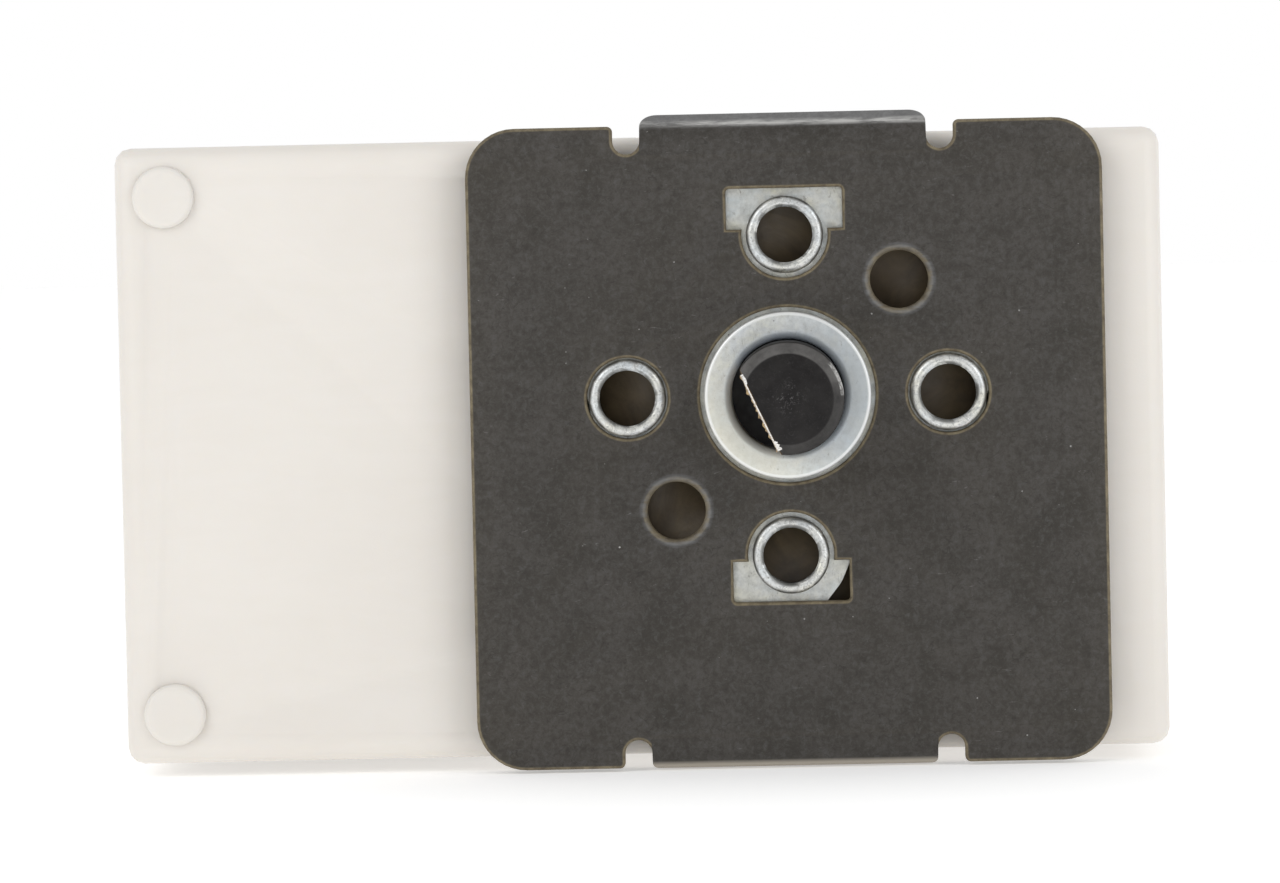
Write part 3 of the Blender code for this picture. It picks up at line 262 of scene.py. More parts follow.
def boolean(obj, other, operation):
    """Joins another object to this one or cuts it away, and deletes it."""
    modifier = obj.modifiers.new("boolean", 'BOOLEAN')
    modifier.operation = operation
    modifier.solver = 'EXACT'
    modifier.object = other
    settle(obj)
    mesh = other.data
    bpy.data.objects.remove(other, do_unlink=True)
    bpy.data.meshes.remove(mesh)


def flat_outline(outlines):
    """A flat filled sheet, as a bmesh, from its outer outline and its holes."""
    curve = bpy.data.curves.new("outline", 'CURVE')
    curve.dimensions = '2D'
    curve.fill_mode = 'FRONT'
    for points in outlines:
        spline = curve.splines.new('POLY')
        spline.points.add(len(points) - 1)
        for target, (x, y) in zip(spline.points, points):
            target.co = (x, y, 0, 1)
        spline.use_cyclic_u = True
    holder = bpy.data.objects.new("outline", curve)
    bpy.context.scene.collection.objects.link(holder)
    bpy.context.view_layer.update()
    flat = bpy.data.meshes.new_from_object(holder.evaluated_get(bpy.context.evaluated_depsgraph_get()))
    bm = bmesh.new()
    bm.from_mesh(flat)
    bmesh.ops.remove_doubles(bm, verts=bm.verts, dist=OUTLINE_MERGE)
    for face in bm.faces:
        if face.normal.z < 0:
            face.normal_flip()
    bpy.data.objects.remove(holder, do_unlink=True)
    bpy.data.curves.remove(curve)
    bpy.data.meshes.remove(flat)
    return bm


def moved_left(points, distance):
    """An outline moved sideways to its left, with mitred corners."""
    moved = []
    for index, point in enumerate(points):
        here = Vector(point)
        before = (here - Vector(points[index - 1])).normalized()
        after = (Vector(points[(index + 1) % len(points)]) - here).normalized()
        mitre = Vector((-before.y - after.y, before.x + after.x)) / (1 + before.dot(after))
        moved.append(tuple(here + mitre * distance))
    return moved


def rolled_sheet(outlines, thickness, roll):
    """A sheet, as a bmesh, whose front edges are rounded over. Metal lies to the left of each outline."""
    bm = flat_outline([moved_left(points, roll) for points in outlines])
    rear = flat_outline(outlines)
    bmesh.ops.translate(rear, verts=rear.verts, vec=(0, 0, -thickness))
    rear_mesh = bpy.data.meshes.new("rear")
    rear.to_mesh(rear_mesh)
    rear.free()
    bm.from_mesh(rear_mesh)
    bpy.data.meshes.remove(rear_mesh)
    levels = [(roll * (1 - math.sin(turn)), roll * (math.cos(turn) - 1))
              for turn in (QUARTER_TURN * step / ROLL_STEPS for step in range(ROLL_STEPS + 1))]
    levels.append((0, -thickness))
    for points in outlines:
        rings = [[bm.verts.new((x, y, z)) for x, y in moved_left(points, inward)] for inward, z in levels]
        for first, second in zip(rings, rings[1:]):
            for index in range(len(points)):
                bm.faces.new((first[index - 1], second[index - 1], second[index], first[index]))
    bmesh.ops.remove_doubles(bm, verts=bm.verts, dist=FINE_MERGE)
    bmesh.ops.recalc_face_normals(bm, faces=bm.faces)
    return bm


def thicken(obj, thickness):
    modifier = obj.modifiers.new("thickness", 'SOLIDIFY')
    modifier.thickness = thickness
    modifier.offset = -1
    return settle(obj)


def turned(name, profile, segments=96, centre=(0, 0), radius_at=None):
    """A closed turned solid from (radius, z) points, run from the inside or axis round to where they began.
    radius_at(radius, z, angle) may vary a radius round the turn."""
    bm = bmesh.new()
    rings = []
    for radius, z in profile:
        if radius == 0:
            rings.append([bm.verts.new((centre[0], centre[1], z))])
            continue
        ring = []
        for step in range(segments):
            angle = FULL_TURN * step / segments
            here = radius_at(radius, z, angle) if radius_at else radius
            x = centre[0] + here * math.cos(angle)
            y = centre[1] + here * math.sin(angle)
            ring.append(bm.verts.new((x, y, z)))
        rings.append(ring)
    pairs = list(zip(rings, rings[1:]))
    if profile[0][0] > 0:
        pairs.append((rings[-1], rings[0]))
    for first, second in pairs:
        for step in range(segments):
            after = (step + 1) % segments
            corners = [first[step % len(first)], second[step % len(second)],
                       second[after % len(second)], first[after % len(first)]]
            bm.faces.new(list(dict.fromkeys(corners)))
    bmesh.ops.recalc_face_normals(bm, faces=bm.faces)
    return make_object(name, bm)


def smooth(obj, angle=38):
    """Smooth shading, with a sharp edge wherever two faces meet at more than the angle in degrees."""
    for polygon in obj.data.polygons:
        polygon.use_smooth = True
    obj.data.set_sharp_from_angle(angle=math.radians(angle))


def place(obj, material, node, replaced=True, sharp=38):
    """Stands a drawn piece in the row frame, gives it its finish, and lets it ride as its CAD node does."""
    obj.data.transform(DRAWING)
    smooth(obj, sharp)
    obj.data.materials.clear()
    obj.data.materials.append(material)
    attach(obj, body_of(node))
    if replaced:
        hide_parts(node)


# ---------------------------------------------------------------- node helpers

SPOT_BLUR = 0.4


def fill_ramp(node, stops):
    """Sets a colour ramp from (position, colour or grey level) stops."""
    elements = node.color_ramp.elements
    while len(elements) < len(stops):
        elements.new(0.5)
    for element, (position, colour) in zip(elements, stops):
        element.position = position
        level = colour if isinstance(colour, tuple) else (colour, colour, colour)
        element.color = (*level, 1)


class Finish:
    """A Principled material whose textures are laid out in millimetres of the row frame."""

    def __init__(self, name, metallic=0.0, **sockets):
        self.material = bpy.data.materials.new(name)
        self.material.use_nodes = True
        self.tree = self.material.node_tree
        self.tree.nodes.clear()
        self.shader = self.tree.nodes.new('ShaderNodeBsdfPrincipled')
        output = self.tree.nodes.new('ShaderNodeOutputMaterial')
        self.tree.links.new(self.shader.outputs['BSDF'], output.inputs['Surface'])
        self.shader.inputs['Metallic'].default_value = metallic
        for socket, value in sockets.items():
            self.shader.inputs[socket.replace('_', ' ')].default_value = value
        self.coordinates = self.tree.nodes.new('ShaderNodeTexCoord')
        self.millimetres = self.stretched((1, 1, 1))
        self.bump_chain = None

    def feed(self, socket, value):
        """Links a socket to another node's output, or sets its value."""
        if isinstance(value, bpy.types.NodeSocket):
            self.tree.links.new(value, socket)
        else:
            socket.default_value = value

    def stretched(self, factors):
        """Coordinates in millimetres, multiplied along each axis."""
        mapping = self.tree.nodes.new('ShaderNodeMapping')
        mapping.inputs['Scale'].default_value = [factor / MM for factor in factors]
        self.tree.links.new(self.coordinates.outputs['Object'], mapping.inputs['Vector'])
        return mapping.outputs['Vector']

    def noise(self, scale, detail=3.0, roughness=0.5, distortion=0.0, vector=None):
        node = self.tree.nodes.new('ShaderNodeTexNoise')
        self.tree.links.new(vector or self.millimetres, node.inputs['Vector'])
        node.inputs['Scale'].default_value = scale
        node.inputs['Detail'].default_value = detail
        node.inputs['Roughness'].default_value = roughness
        node.inputs['Distortion'].default_value = distortion
        return node.outputs['Fac']

    def cells(self, scale):
        node = self.tree.nodes.new('ShaderNodeTexVoronoi')
        self.tree.links.new(self.millimetres, node.inputs['Vector'])
        node.inputs['Scale'].default_value = scale
        return node

    def ramp(self, factor, *stops):
        """Colours or grey levels at positions along a factor."""
        node = self.tree.nodes.new('ShaderNodeValToRGB')
        self.tree.links.new(factor, node.inputs['Fac'])
        fill_ramp(node, stops)
        return node.outputs['Color']

    def mix(self, factor, first, second, blend='MIX'):
        node = self.tree.nodes.new('ShaderNodeMix')
        node.data_type = 'RGBA'
        node.blend_type = blend
        self.feed(node.inputs['Factor'], factor)
        for name, value in (('A', first), ('B', second)):
            socket = next(s for s in node.inputs if s.name == name and s.type == 'RGBA')
            self.feed(socket, (*value, 1) if isinstance(value, tuple) else value)
        return next(s for s in node.outputs if s.type == 'RGBA')

    def math(self, operation, first, second=0.0):
        node = self.tree.nodes.new('ShaderNodeMath')
        node.operation = operation
        for socket, value in zip(node.inputs, (first, second)):
            self.feed(socket, value)
        return node.outputs[0]

    def product(self, *factors):
        """Two or more values multiplied together."""
        value = factors[0]
        for factor in factors[1:]:
            value = self.math('MULTIPLY', value, factor)
        return value

    def distance(self, across, over):
        """How far two offsets at right angles reach together."""
        squares = self.math('ADD', self.product(across, across), self.product(over, over))
        return self.math('SQRT', squares)

    def axes(self):
        """Millimetres to the right, away from the viewer and up."""
        split = self.tree.nodes.new('ShaderNodeSeparateXYZ')
        self.tree.links.new(self.millimetres, split.inputs[0])
        return split.outputs[0], split.outputs[1], split.outputs[2]

    def facing(self):
        """1 where the surface faces the viewer's side or the rear, 0 on its cut edges."""
        split = self.tree.nodes.new('ShaderNodeSeparateXYZ')
        self.tree.links.new(self.coordinates.outputs['Normal'], split.inputs[0])
        return self.math('ABSOLUTE', split.outputs[1])

    def colour(self, value):
        self.feed(self.shader.inputs['Base Color'], value)

    def roughness(self, value):
        self.feed(self.shader.inputs['Roughness'], value)

    def bump(self, height, millimetres, strength=1.0):
        node = self.tree.nodes.new('ShaderNodeBump')
        node.inputs['Strength'].default_value = strength
        node.inputs['Distance'].default_value = millimetres * MM
        self.tree.links.new(height, node.inputs['Height'])
        if self.bump_chain:
            self.tree.links.new(self.bump_chain, node.inputs['Normal'])
        self.bump_chain = node.outputs['Normal']
        self.feed(self.shader.inputs['Normal'], self.bump_chain)


def scatter(finish, scale, size):
    """Small spots of uneven size, at most one to a cell, as a mask before clamping."""
    cell = finish.cells(scale)
    pick = finish.tree.nodes.new('ShaderNodeSeparateXYZ')
    finish.tree.links.new(cell.outputs['Color'], pick.inputs[0])
    radius = finish.product(finish.math('POWER', pick.outputs[0], 6.0), size)
    edge = finish.math('SUBTRACT', radius, cell.outputs['Distance'])
    return finish.math('DIVIDE', edge, SPOT_BLUR * size)


def smooth_step(finish, value, start, width):
    """0 below start and 1 a width above it."""
    return clamp(finish, finish.math('DIVIDE', finish.math('SUBTRACT', value, start), width))


def rolled_hole_highlight(finish, right, up):
    """A painted highlight: the lighter ring round each plain hole's rolled edge."""
    offset = FIXING_RADIUS * math.sqrt(0.5)
    masks = []
    for side in (1, -1):
        reach = finish.distance(finish.math('SUBTRACT', right, side * offset),
                                finish.math('SUBTRACT', up, side * offset))
        from_ring = finish.math('ABSOLUTE', finish.math('SUBTRACT', reach, PLAIN_HOLE_RADIUS + 0.22))
        masks.append(finish.ramp(from_ring, (0.02, 0.9), (0.26, 0.0)))
    return finish.math('MAXIMUM', *masks)


def clamp(finish, value):
    node = finish.tree.nodes.new('ShaderNodeClamp')
    finish.tree.links.new(value, node.inputs['Value'])
    return node.outputs[0]


# ---------------------------------------------------------------- materials

def cream_plastic():
    """Cream moulding: faint clouds and flow marks, and a few brown specks."""
    finish = Finish("cream_plastic", Specular_IOR_Level=0.42)
    finish.shader.inputs['Subsurface Weight'].default_value = 0.12
    finish.shader.inputs['Subsurface Scale'].default_value = 0.0012
    finish.shader.inputs['Subsurface Radius'].default_value = (1.0, 0.8, 0.55)
    cloud = finish.noise(0.09, 4, 0.6)
    flow = finish.noise(0.6, 5, 0.6, 1.2, finish.stretched((0.25, 1, 1)))
    base = finish.ramp(cloud, (0.35, (0.785, 0.748, 0.70)), (0.65, (0.80, 0.765, 0.718)))
    tint = finish.ramp(flow, (0.3, (0.985, 0.983, 0.975)), (0.7, (1.0, 1.0, 1.0)))
    base = finish.mix(1.0, base, tint, 'MULTIPLY')
    specks = clamp(finish, scatter(finish, 0.22, 0.035))
    base = finish.mix(finish.product(specks, 0.6), base, (0.32, 0.14, 0.08))
    finish.colour(base)
    finish.roughness(finish.ramp(finish.noise(1.4, 4), (0.3, 0.36), (0.7, 0.5)))
    finish.bump(finish.noise(9, 4, 0.6), 0.012, 0.35)
    finish.bump(finish.noise(0.35, 2), 0.05, 0.4)
    return finish.material


def black_steel():
    """Phosphated sheet: olive-grey mottling and dust, with painted highlights: tan on the rounded sheared
    edges, lighter on the lips' bends with a line along the upper lip, and round the rolled holes.
    """
    finish = Finish("phosphated_steel", 0.0, Specular_IOR_Level=0.38)
    coarse = finish.noise(0.35, 6, 0.65, 0.5)
    fine = finish.noise(2.6, 8, 0.75, 0.4)
    crystals = finish.noise(8, 4, 0.7)
    base = finish.ramp(coarse, (0.36, (0.034, 0.030, 0.0245)), (0.6, (0.051, 0.046, 0.0405)))
    base = finish.mix(finish.ramp(fine, (0.34, 0.8), (0.5, 0.0)), base, (0.023, 0.0197, 0.0155))
    base = finish.mix(finish.ramp(fine, (0.5, 0.0), (0.68, 0.7)), base, (0.078, 0.0765, 0.0735))
    base = finish.mix(finish.ramp(crystals, (0.56, 0.0), (0.74, 0.4)), base, (0.085, 0.084, 0.082))
    base = finish.mix(finish.ramp(crystals, (0.3, 0.4), (0.46, 0.0)), base, (0.022, 0.02, 0.0165))
    dust = clamp(finish, scatter(finish, 1.5, 0.1))
    dust = finish.product(dust, finish.ramp(finish.noise(14, 2), (0.4, 0.1), (0.6, 0.8)))
    base = finish.mix(dust, base, (0.5, 0.5, 0.48))
    lint = finish.noise(1.1, 3, 0.5, 3.5, finish.stretched((0.5, 1, 2.2)))
    lint = finish.product(finish.ramp(lint, (0.70, 0.0), (0.74, 1.0)),
                          finish.ramp(fine, (0.45, 0.0), (0.65, 0.5)))
    base = finish.mix(lint, base, (0.26, 0.26, 0.25))
    scratch = finish.noise(0.5, 2, 0.4, 1.8, finish.stretched((1.0, 1, 1.6)))
    hairline = finish.ramp(scratch, (0.484, 0.0), (0.492, 0.6), (0.5, 0.0))
    base = finish.mix(hairline, base, (0.017, 0.015, 0.012))

    right, _, up = finish.axes()
    height = finish.math('SUBTRACT', up, CENTRE_Y)
    between = finish.math('LESS_THAN', finish.math('ABSOLUTE', right), LIP_HALF_WIDTH + 0.02)
    beyond = finish.math('GREATER_THAN', finish.math('ABSOLUTE', height), LIPS_START)
    off_lips = finish.math('SUBTRACT', 1.0, finish.product(between, beyond))
    # Painted highlight: tan on the rounded cut edges, standing for the light they catch; kept off the lips
    edge = finish.product(finish.ramp(finish.facing(), (0.93, 0.9), (0.998, 0.0)), off_lips)
    tan = finish.noise(1.7, 5, 0.7)
    tan = finish.ramp(tan, (0.35, (0.105, 0.082, 0.05)), (0.65, (0.24, 0.20, 0.125)))
    base = finish.mix(edge, base, tan)

    # Painted highlight: the upper lip lighter beyond its bend, where it faces the light from above
    bend = finish.product(between, smooth_step(finish, height, UPPER_SHINE, 0.4), 0.9)
    base = finish.mix(bend, base, finish.ramp(fine, (0.35, 0.11), (0.65, 0.19)))
    # Painted highlight: a broken bright line along the upper lip
    highlight_breakup = finish.noise(1.3, 5, 0.65, 0.4, finish.stretched((0.3, 1, 2.0)))
    from_highlight_line = finish.math('ABSOLUTE', finish.math('SUBTRACT', height, UPPER_HIGHLIGHT_LINE))
    streak = finish.product(between, finish.ramp(from_highlight_line, (0.05, 1.0), (0.22, 0.0)),
                            finish.ramp(highlight_breakup, (0.4, 0.1), (0.58, 1.0)))
    base = finish.mix(streak, base, (0.46, 0.455, 0.44))
    # Painted highlight: a beige band on the lower lip's bend
    lower_bend_highlight = smooth_step(finish, finish.product(height, -1.0), LOWER_SHINE, 0.25)
    base = finish.mix(finish.product(between, lower_bend_highlight, 0.9), base, (0.42, 0.38, 0.32))
    # Painted highlight: a lighter ring round each rolled hole, broken into patches
    rolled = finish.product(rolled_hole_highlight(finish, right, up), finish.ramp(highlight_breakup, (0.4, 0.15), (0.62, 0.85)))
    base = finish.mix(rolled, base, (0.17, 0.175, 0.182))
    finish.colour(base)
    finish.roughness(finish.ramp(fine, (0.3, 0.5), (0.75, 0.68)))
    finish.bump(fine, 0.03, 0.5)
    finish.bump(crystals, 0.012, 0.5)
    return finish.material


def collar_tone_and_painted_light(finish, base):
    """Painted light on the collar: painted reflections, blue in the throat and straw at the lower left;
    painted shade, greyer at the right; and a painted highlight, a bright outer rim.
    """
    right, _, up = finish.axes()
    reach = finish.distance(right, up)
    base = finish.mix(1.0, base, (0.91, 0.93, 0.95), 'MULTIPLY')
    # Painted reflection: blue in the throat
    throat = finish.math('SUBTRACT', 1.0, smooth_step(finish, reach, COLLAR_BORE + 0.12, 0.45))
    base = finish.mix(finish.product(throat, 0.75), base, (0.52, 0.60, 0.70))
    # Painted reflection: straw at the lower left
    lower_left = finish.product(finish.math('ADD', right, up), -0.14)
    base = finish.mix(finish.ramp(lower_left, (0.0, 0.0), (1.0, 0.7)), base, (0.82, 0.79, 0.64))
    # Painted shade: greyer at the right
    right_side = finish.ramp(finish.product(right, 0.25), (0.1, 0.0), (1.0, 0.7))
    base = finish.mix(right_side, base, (0.46, 0.50, 0.52))
    # Painted highlight: the bright outer rim
    rim = smooth_step(finish, reach, COLLAR_RADIUS - 0.22, 0.05)
    return finish.mix(finish.product(rim, 0.7), base, (0.92, 0.93, 0.92))


def boss_wear_and_reflections(finish, base, dull):
    """Dull plating, with each boss's drawn rim brighter: painted reflections, dark bands with bright arcs
    between them, broken into patches, and darker marks on the bosses.
    """
    right, _, up = finish.axes()
    right = finish.math('ABSOLUTE', right)
    up = finish.math('ABSOLUTE', up)
    outward = finish.math('SUBTRACT', finish.math('MAXIMUM', right, up), FIXING_RADIUS)
    radius = finish.distance(outward, finish.math('MINIMUM', right, up))
    # Painted reflections: dark bands round each bore with bright arcs between them
    ring = finish.ramp(finish.math('SUBTRACT', radius, BOSS_BORE), (0.0, 1.0), (0.14, 0.75), (0.2, 0.1),
                       (0.36, 0.0), (0.5, 0.9), (0.6, 0.5), (0.66, 0.0))
    patches = finish.noise(0.75, 4, 0.6, 0.8)
    reflection_bands = finish.product(ring, finish.ramp(patches, (0.42, 0.05), (0.54, 1.0)))
    base = finish.mix(reflection_bands, base, (0.17, 0.17, 0.16))
    on_boss = finish.math('LESS_THAN', radius, BOSS_RADIUS + 0.02)
    base = finish.mix(on_boss, dull, base)
    marks = finish.ramp(finish.noise(4.5, 6, 0.7, 1.2), (0.5, 0.0), (0.62, 0.75))
    return finish.mix(finish.product(on_boss, marks), base, (0.33, 0.34, 0.34))


def zinc(finish):
    """Zinc plating's colour and its tint: pale crystals, with faint yellow and blue over them."""
    tint = finish.noise(0.5, 4, 0.6, 0.6)
    base = finish.ramp(tint, (0.3, (0.70, 0.755, 0.79)), (0.5, (0.78, 0.79, 0.775)),
                       (0.7, (0.80, 0.785, 0.68)))
    mottle = finish.noise(2.6, 8, 0.72)
    base = finish.mix(finish.ramp(mottle, (0.35, 0.5), (0.6, 0.0)), base, (0.44, 0.45, 0.44))
    scrape = finish.noise(5.0, 5, 0.65, 1.0, finish.stretched((1.0, 1, 0.45)))
    base = finish.mix(finish.ramp(scrape, (0.6, 0.0), (0.7, 0.7)), base, (0.30, 0.29, 0.26))
    spots = clamp(finish, scatter(finish, 1.6, 0.16))
    base = finish.mix(finish.product(spots, 0.8), base, (0.20, 0.20, 0.18))
    finish.roughness(finish.ramp(mottle, (0.3, 0.46), (0.7, 0.3)))
    finish.bump(mottle, 0.02, 0.5)
    return base, tint


def zinc_plate():
    """Zinc-plated sheet with its drawn bosses."""
    finish = Finish("zinc_plate", 0.9)
    base, _ = zinc(finish)
    dull = finish.mix(1.0, base, (0.82, 0.82, 0.80), 'MULTIPLY')
    finish.colour(boss_wear_and_reflections(finish, base, dull))
    return finish.material


def zinc_collar():
    """Zinc plating over fine turning marks."""
    finish = Finish("zinc_collar", 0.5)
    base, tint = zinc(finish)
    finish.colour(collar_tone_and_painted_light(finish, base))
    right, _, up = finish.axes()
    rings = finish.product(finish.distance(right, up), 9.0)
    wave = finish.math('SINE', finish.math('ADD', rings, finish.product(tint, 6.0)))
    finish.bump(wave, 0.004, 0.5)
    return finish.material


def off_flat(finish, right, up):
    """How far a point lies from the shaft's axis, square to the flat."""
    return finish.math('ADD', finish.product(right, math.cos(FLAT_ANGLE)),
                       finish.product(up, math.sin(FLAT_ANGLE)))


def shaft_black():
    """Black oxide: a scratched end face; a chamfer painted greyer, most towards the top, as a reflection,
    with one bright arc on its rim; and a straw-brown flat.
    """
    finish = Finish("black_oxide", 0.0, Specular_IOR_Level=0.18)
    right, away, up = finish.axes()
    reach = finish.distance(right, up)
    cloud = finish.noise(0.9, 5, 0.65)
    base = finish.ramp(cloud, (0.35, (0.009, 0.008, 0.008)), (0.7, (0.02, 0.0185, 0.018)))
    streak = finish.noise(3.0, 5, 0.6, 1.5)
    lines = finish.noise(1.6, 3, 0.5, 4.0)
    scratches = finish.product(finish.ramp(lines, (0.46, 0.0), (0.49, 0.75), (0.52, 0.0)),
                               finish.ramp(streak, (0.48, 0.0), (0.6, 1.0)),
                               finish.ramp(reach, (0.2, 1.0), (1.0, 0.12)))
    base = finish.mix(scratches, base, (0.20, 0.195, 0.195))
    spots = clamp(finish, scatter(finish, 2.6, 0.1))
    base = finish.mix(spots, base, (0.2, 0.19, 0.18))

    at_tip = smooth_step(finish, finish.product(away, -1.0), SHAFT_FRONT - SHAFT_CHAMFER - 0.3, 0.2)
    chamfer = smooth_step(finish, reach, SHAFT_RADIUS - SHAFT_CHAMFER, 0.08)
    # Painted reflection: the chamfer greyer, most towards the top
    grey = finish.product(at_tip, chamfer, finish.ramp(up, (0.0, 0.35), (1.0, 1.0)),
                          finish.ramp(cloud, (0.3, 0.35), (0.7, 0.9)))
    base = finish.mix(grey, base, (0.15, 0.145, 0.14))
    # A bright arc on the chamfer's outer rim, at the upper right
    turn = finish.math('ARCTAN2', up, right)
    bright_arc = finish.product(at_tip, smooth_step(finish, reach, SHAFT_RADIUS - 0.2, 0.06),
                          smooth_step(finish, turn, CHAMFER_BRIGHT_ARC[0], 0.06),
                          smooth_step(finish, finish.product(turn, -1.0), -CHAMFER_BRIGHT_ARC[1], 0.06),
                          finish.ramp(streak, (0.36, 0.15), (0.56, 0.9)))
    base = finish.mix(bright_arc, base, (0.55, 0.55, 0.53))

    on_flat = finish.math('GREATER_THAN', off_flat(finish, right, up), FLAT_OFFSET - 0.03)
    gold = finish.ramp(finish.noise(1.2, 4, 0.6, 0.8, finish.stretched((1, 0.3, 1))),
                       (0.4, (0.05, 0.035, 0.02)), (0.6, (0.30, 0.20, 0.09)))
    finish.colour(finish.mix(finish.product(on_flat, 0.8), base, gold))
    finish.roughness(finish.ramp(cloud, (0.3, 0.32), (0.7, 0.5)))
    finish.bump(streak, 0.01, 0.4)
    finish.bump(finish.noise(6, 4, 0.6), 0.01, 0.3)
    return finish.material


def burr_metal():
    """Torn steel: near white at the crest, turning straw and brown down the flat."""
    finish = Finish("burr_metal", 0.0, Specular_IOR_Level=0.8)
    right, _, up = finish.axes()
    torn = finish.noise(7.0, 5, 0.7, 0.6)
    bright = finish.ramp(torn, (0.36, (0.42, 0.38, 0.32)), (0.52, (0.86, 0.85, 0.83)))
    straw = finish.ramp(torn, (0.35, (0.14, 0.08, 0.03)), (0.65, (0.48, 0.34, 0.15)))
    below = smooth_step(finish, off_flat(finish, right, up), FLAT_OFFSET + BURR_CREST, 0.08)
    finish.colour(finish.mix(below, bright, straw))
    finish.roughness(finish.ramp(torn, (0.3, 0.45), (0.7, 0.3)))
    finish.bump(torn, 0.03, 0.7)
    return finish.material


def plain_metal(name, dark, light, rough=(0.25, 0.4), stretch=(1, 1, 1)):
    """Bright metal with drawn or rolled marks."""
    finish = Finish(name, 1.0)
    grain = finish.noise(1.5, 6, 0.65, 0.3, finish.stretched(stretch))
    stain = finish.noise(0.4, 3, 0.5)
    base = finish.ramp(grain, (0.3, dark), (0.7, light))
    stained = tuple(level * 0.7 for level in dark)
    finish.colour(finish.mix(finish.ramp(stain, (0.45, 0.0), (0.8, 0.5)), base, stained))
    finish.roughness(finish.ramp(grain, (0.3, rough[1]), (0.7, rough[0])))
    finish.bump(grain, 0.01, 0.35)
    return finish.material


def moulded(name, dark, light, scale=1.2):
    """Dark moulded plastic with flow marks and a fine spark-eroded grain."""
    finish = Finish(name, 0.0, Specular_IOR_Level=0.45)
    flow = finish.noise(scale, 5, 0.6, 1.5)
    finish.colour(finish.ramp(flow, (0.3, dark), (0.7, light)))
    finish.roughness(finish.ramp(finish.noise(2, 4), (0.3, 0.4), (0.7, 0.6)))
    finish.bump(finish.noise(8, 4, 0.6), 0.015, 0.5)
    return finish.material


CREAM = cream_plastic()
STEEL = black_steel()
ZINC = zinc_plate()
COLLAR_ZINC = zinc_collar()
BLACK = shaft_black()
TORN = burr_metal()
SPRING = plain_metal("spring_steel", (0.30, 0.30, 0.31), (0.55, 0.55, 0.56), stretch=(0.3, 3, 3))
BRIGHT = plain_metal("bright_steel", (0.36, 0.37, 0.38), (0.62, 0.63, 0.64))
COPPER = plain_metal("copper", (0.55, 0.24, 0.13), (0.78, 0.42, 0.27), stretch=(1, 1, 0.2))
BRASS = plain_metal("brass", (0.55, 0.40, 0.16), (0.80, 0.63, 0.33), stretch=(1, 0.2, 2))
SILVER = plain_metal("silver", (0.66, 0.65, 0.62), (0.86, 0.86, 0.85), (0.18, 0.3))
GREY = moulded("grey_plastic", (0.09, 0.09, 0.095), (0.14, 0.14, 0.145))
BROWN = moulded("brown_plastic", (0.10, 0.04, 0.02), (0.19, 0.085, 0.045), 2.2)
# Partly the fibre sheet's own brown, partly painted shade: darkened to stand for the shade inside the holes
# and window corner it shows through
FIBRE = moulded("fibre_sheet", (0.045, 0.032, 0.02), (0.108, 0.08, 0.044), 0.25)

SLOT_FINISH = {"black_steel": STEEL, "zinc_plate": ZINC, "cream_plastic": CREAM, "black_oxide": BLACK,
               "spring_steel": SPRING, "bright_steel": BRIGHT, "grey_plastic": GREY,
               "brown_plastic": BROWN, "fibre": FIBRE, "copper": COPPER, "brass": BRASS, "silver": SILVER}


# ---------------------------------------------------------------- mounting plate

def fixing(angle_degrees):
    angle = math.radians(angle_degrees)
    return (FIXING_RADIUS * math.cos(angle), FIXING_RADIUS * math.sin(angle))


def blank_half(sign, lip):
    """Corners of one edge of the flat blank."""
    start, angle, flat, corner = lip
    edge = PLATE_HEIGHT / 2
    outer = LIP_HALF_WIDTH + NOTCH_WIDTH
    floor = edge - NOTCH_DEPTH
    lip_end = start + BEND_RADIUS * angle + flat
    round_notch = NOTCH_WIDTH / 2 * 0.998  # just short of half, so that the two roundings don't meet
    side = [(PLATE_WIDTH / 2, edge, PLATE_CORNER), (outer, edge, NOTCH_CORNER), (outer, floor, round_notch),
            (LIP_HALF_WIDTH, floor, round_notch), (LIP_HALF_WIDTH, lip_end, corner)]
    whole = side + [(-x, y, radius) for x, y, radius in reversed(side)]
    return [(sign * x, sign * y + CENTRE_Y, radius) for x, y, radius in whole]


def t_window(sign):
    """Outline of the upper window, a slot with the boss's round below it, or of the lower one."""
    reach = math.asin((WINDOW_INNER - FIXING_RADIUS) / WINDOW_ROUND)
    slot = [(WINDOW_HALF_WIDTH, WINDOW_INNER, 0), (WINDOW_HALF_WIDTH, WINDOW_OUTER, WINDOW_CORNER)]
    points = rounded(slot + [(-x, y, radius) for x, y, radius in reversed(slot)], 4)
    points += arc((0, FIXING_RADIUS), WINDOW_ROUND, math.pi - reach, FULL_TURN + reach, 48)
    return [(sign * x, sign * y) for x, y in points]


def bend_lip(bm, sign, lip):
    """Folds one lip of the sheet back round its bend line."""
    start, angle = lip[:2]
    for step in range(BEND_STEPS + 1):
        line = start + BEND_RADIUS * angle * step / BEND_STEPS
        bmesh.ops.bisect_plane(bm, geom=bm.verts[:] + bm.edges[:] + bm.faces[:], dist=FINE_MERGE,
                               plane_co=(0, CENTRE_Y + sign * line, 0), plane_no=(0, 1, 0))
    for vert in bm.verts:
        run = sign * (vert.co.y - CENTRE_Y) - start
        if run <= 0 or abs(vert.co.x) > LIP_HALF_WIDTH + NOTCH_WIDTH / 2:
            continue
        swept = min(run / BEND_RADIUS, angle)
        straight = max(run - BEND_RADIUS * angle, 0)
        reach = BEND_RADIUS + vert.co.z
        vert.co.y = CENTRE_Y + sign * (start + reach * math.sin(swept) + straight * math.cos(swept))
        vert.co.z = reach * math.cos(swept) - BEND_RADIUS - straight * math.sin(swept)


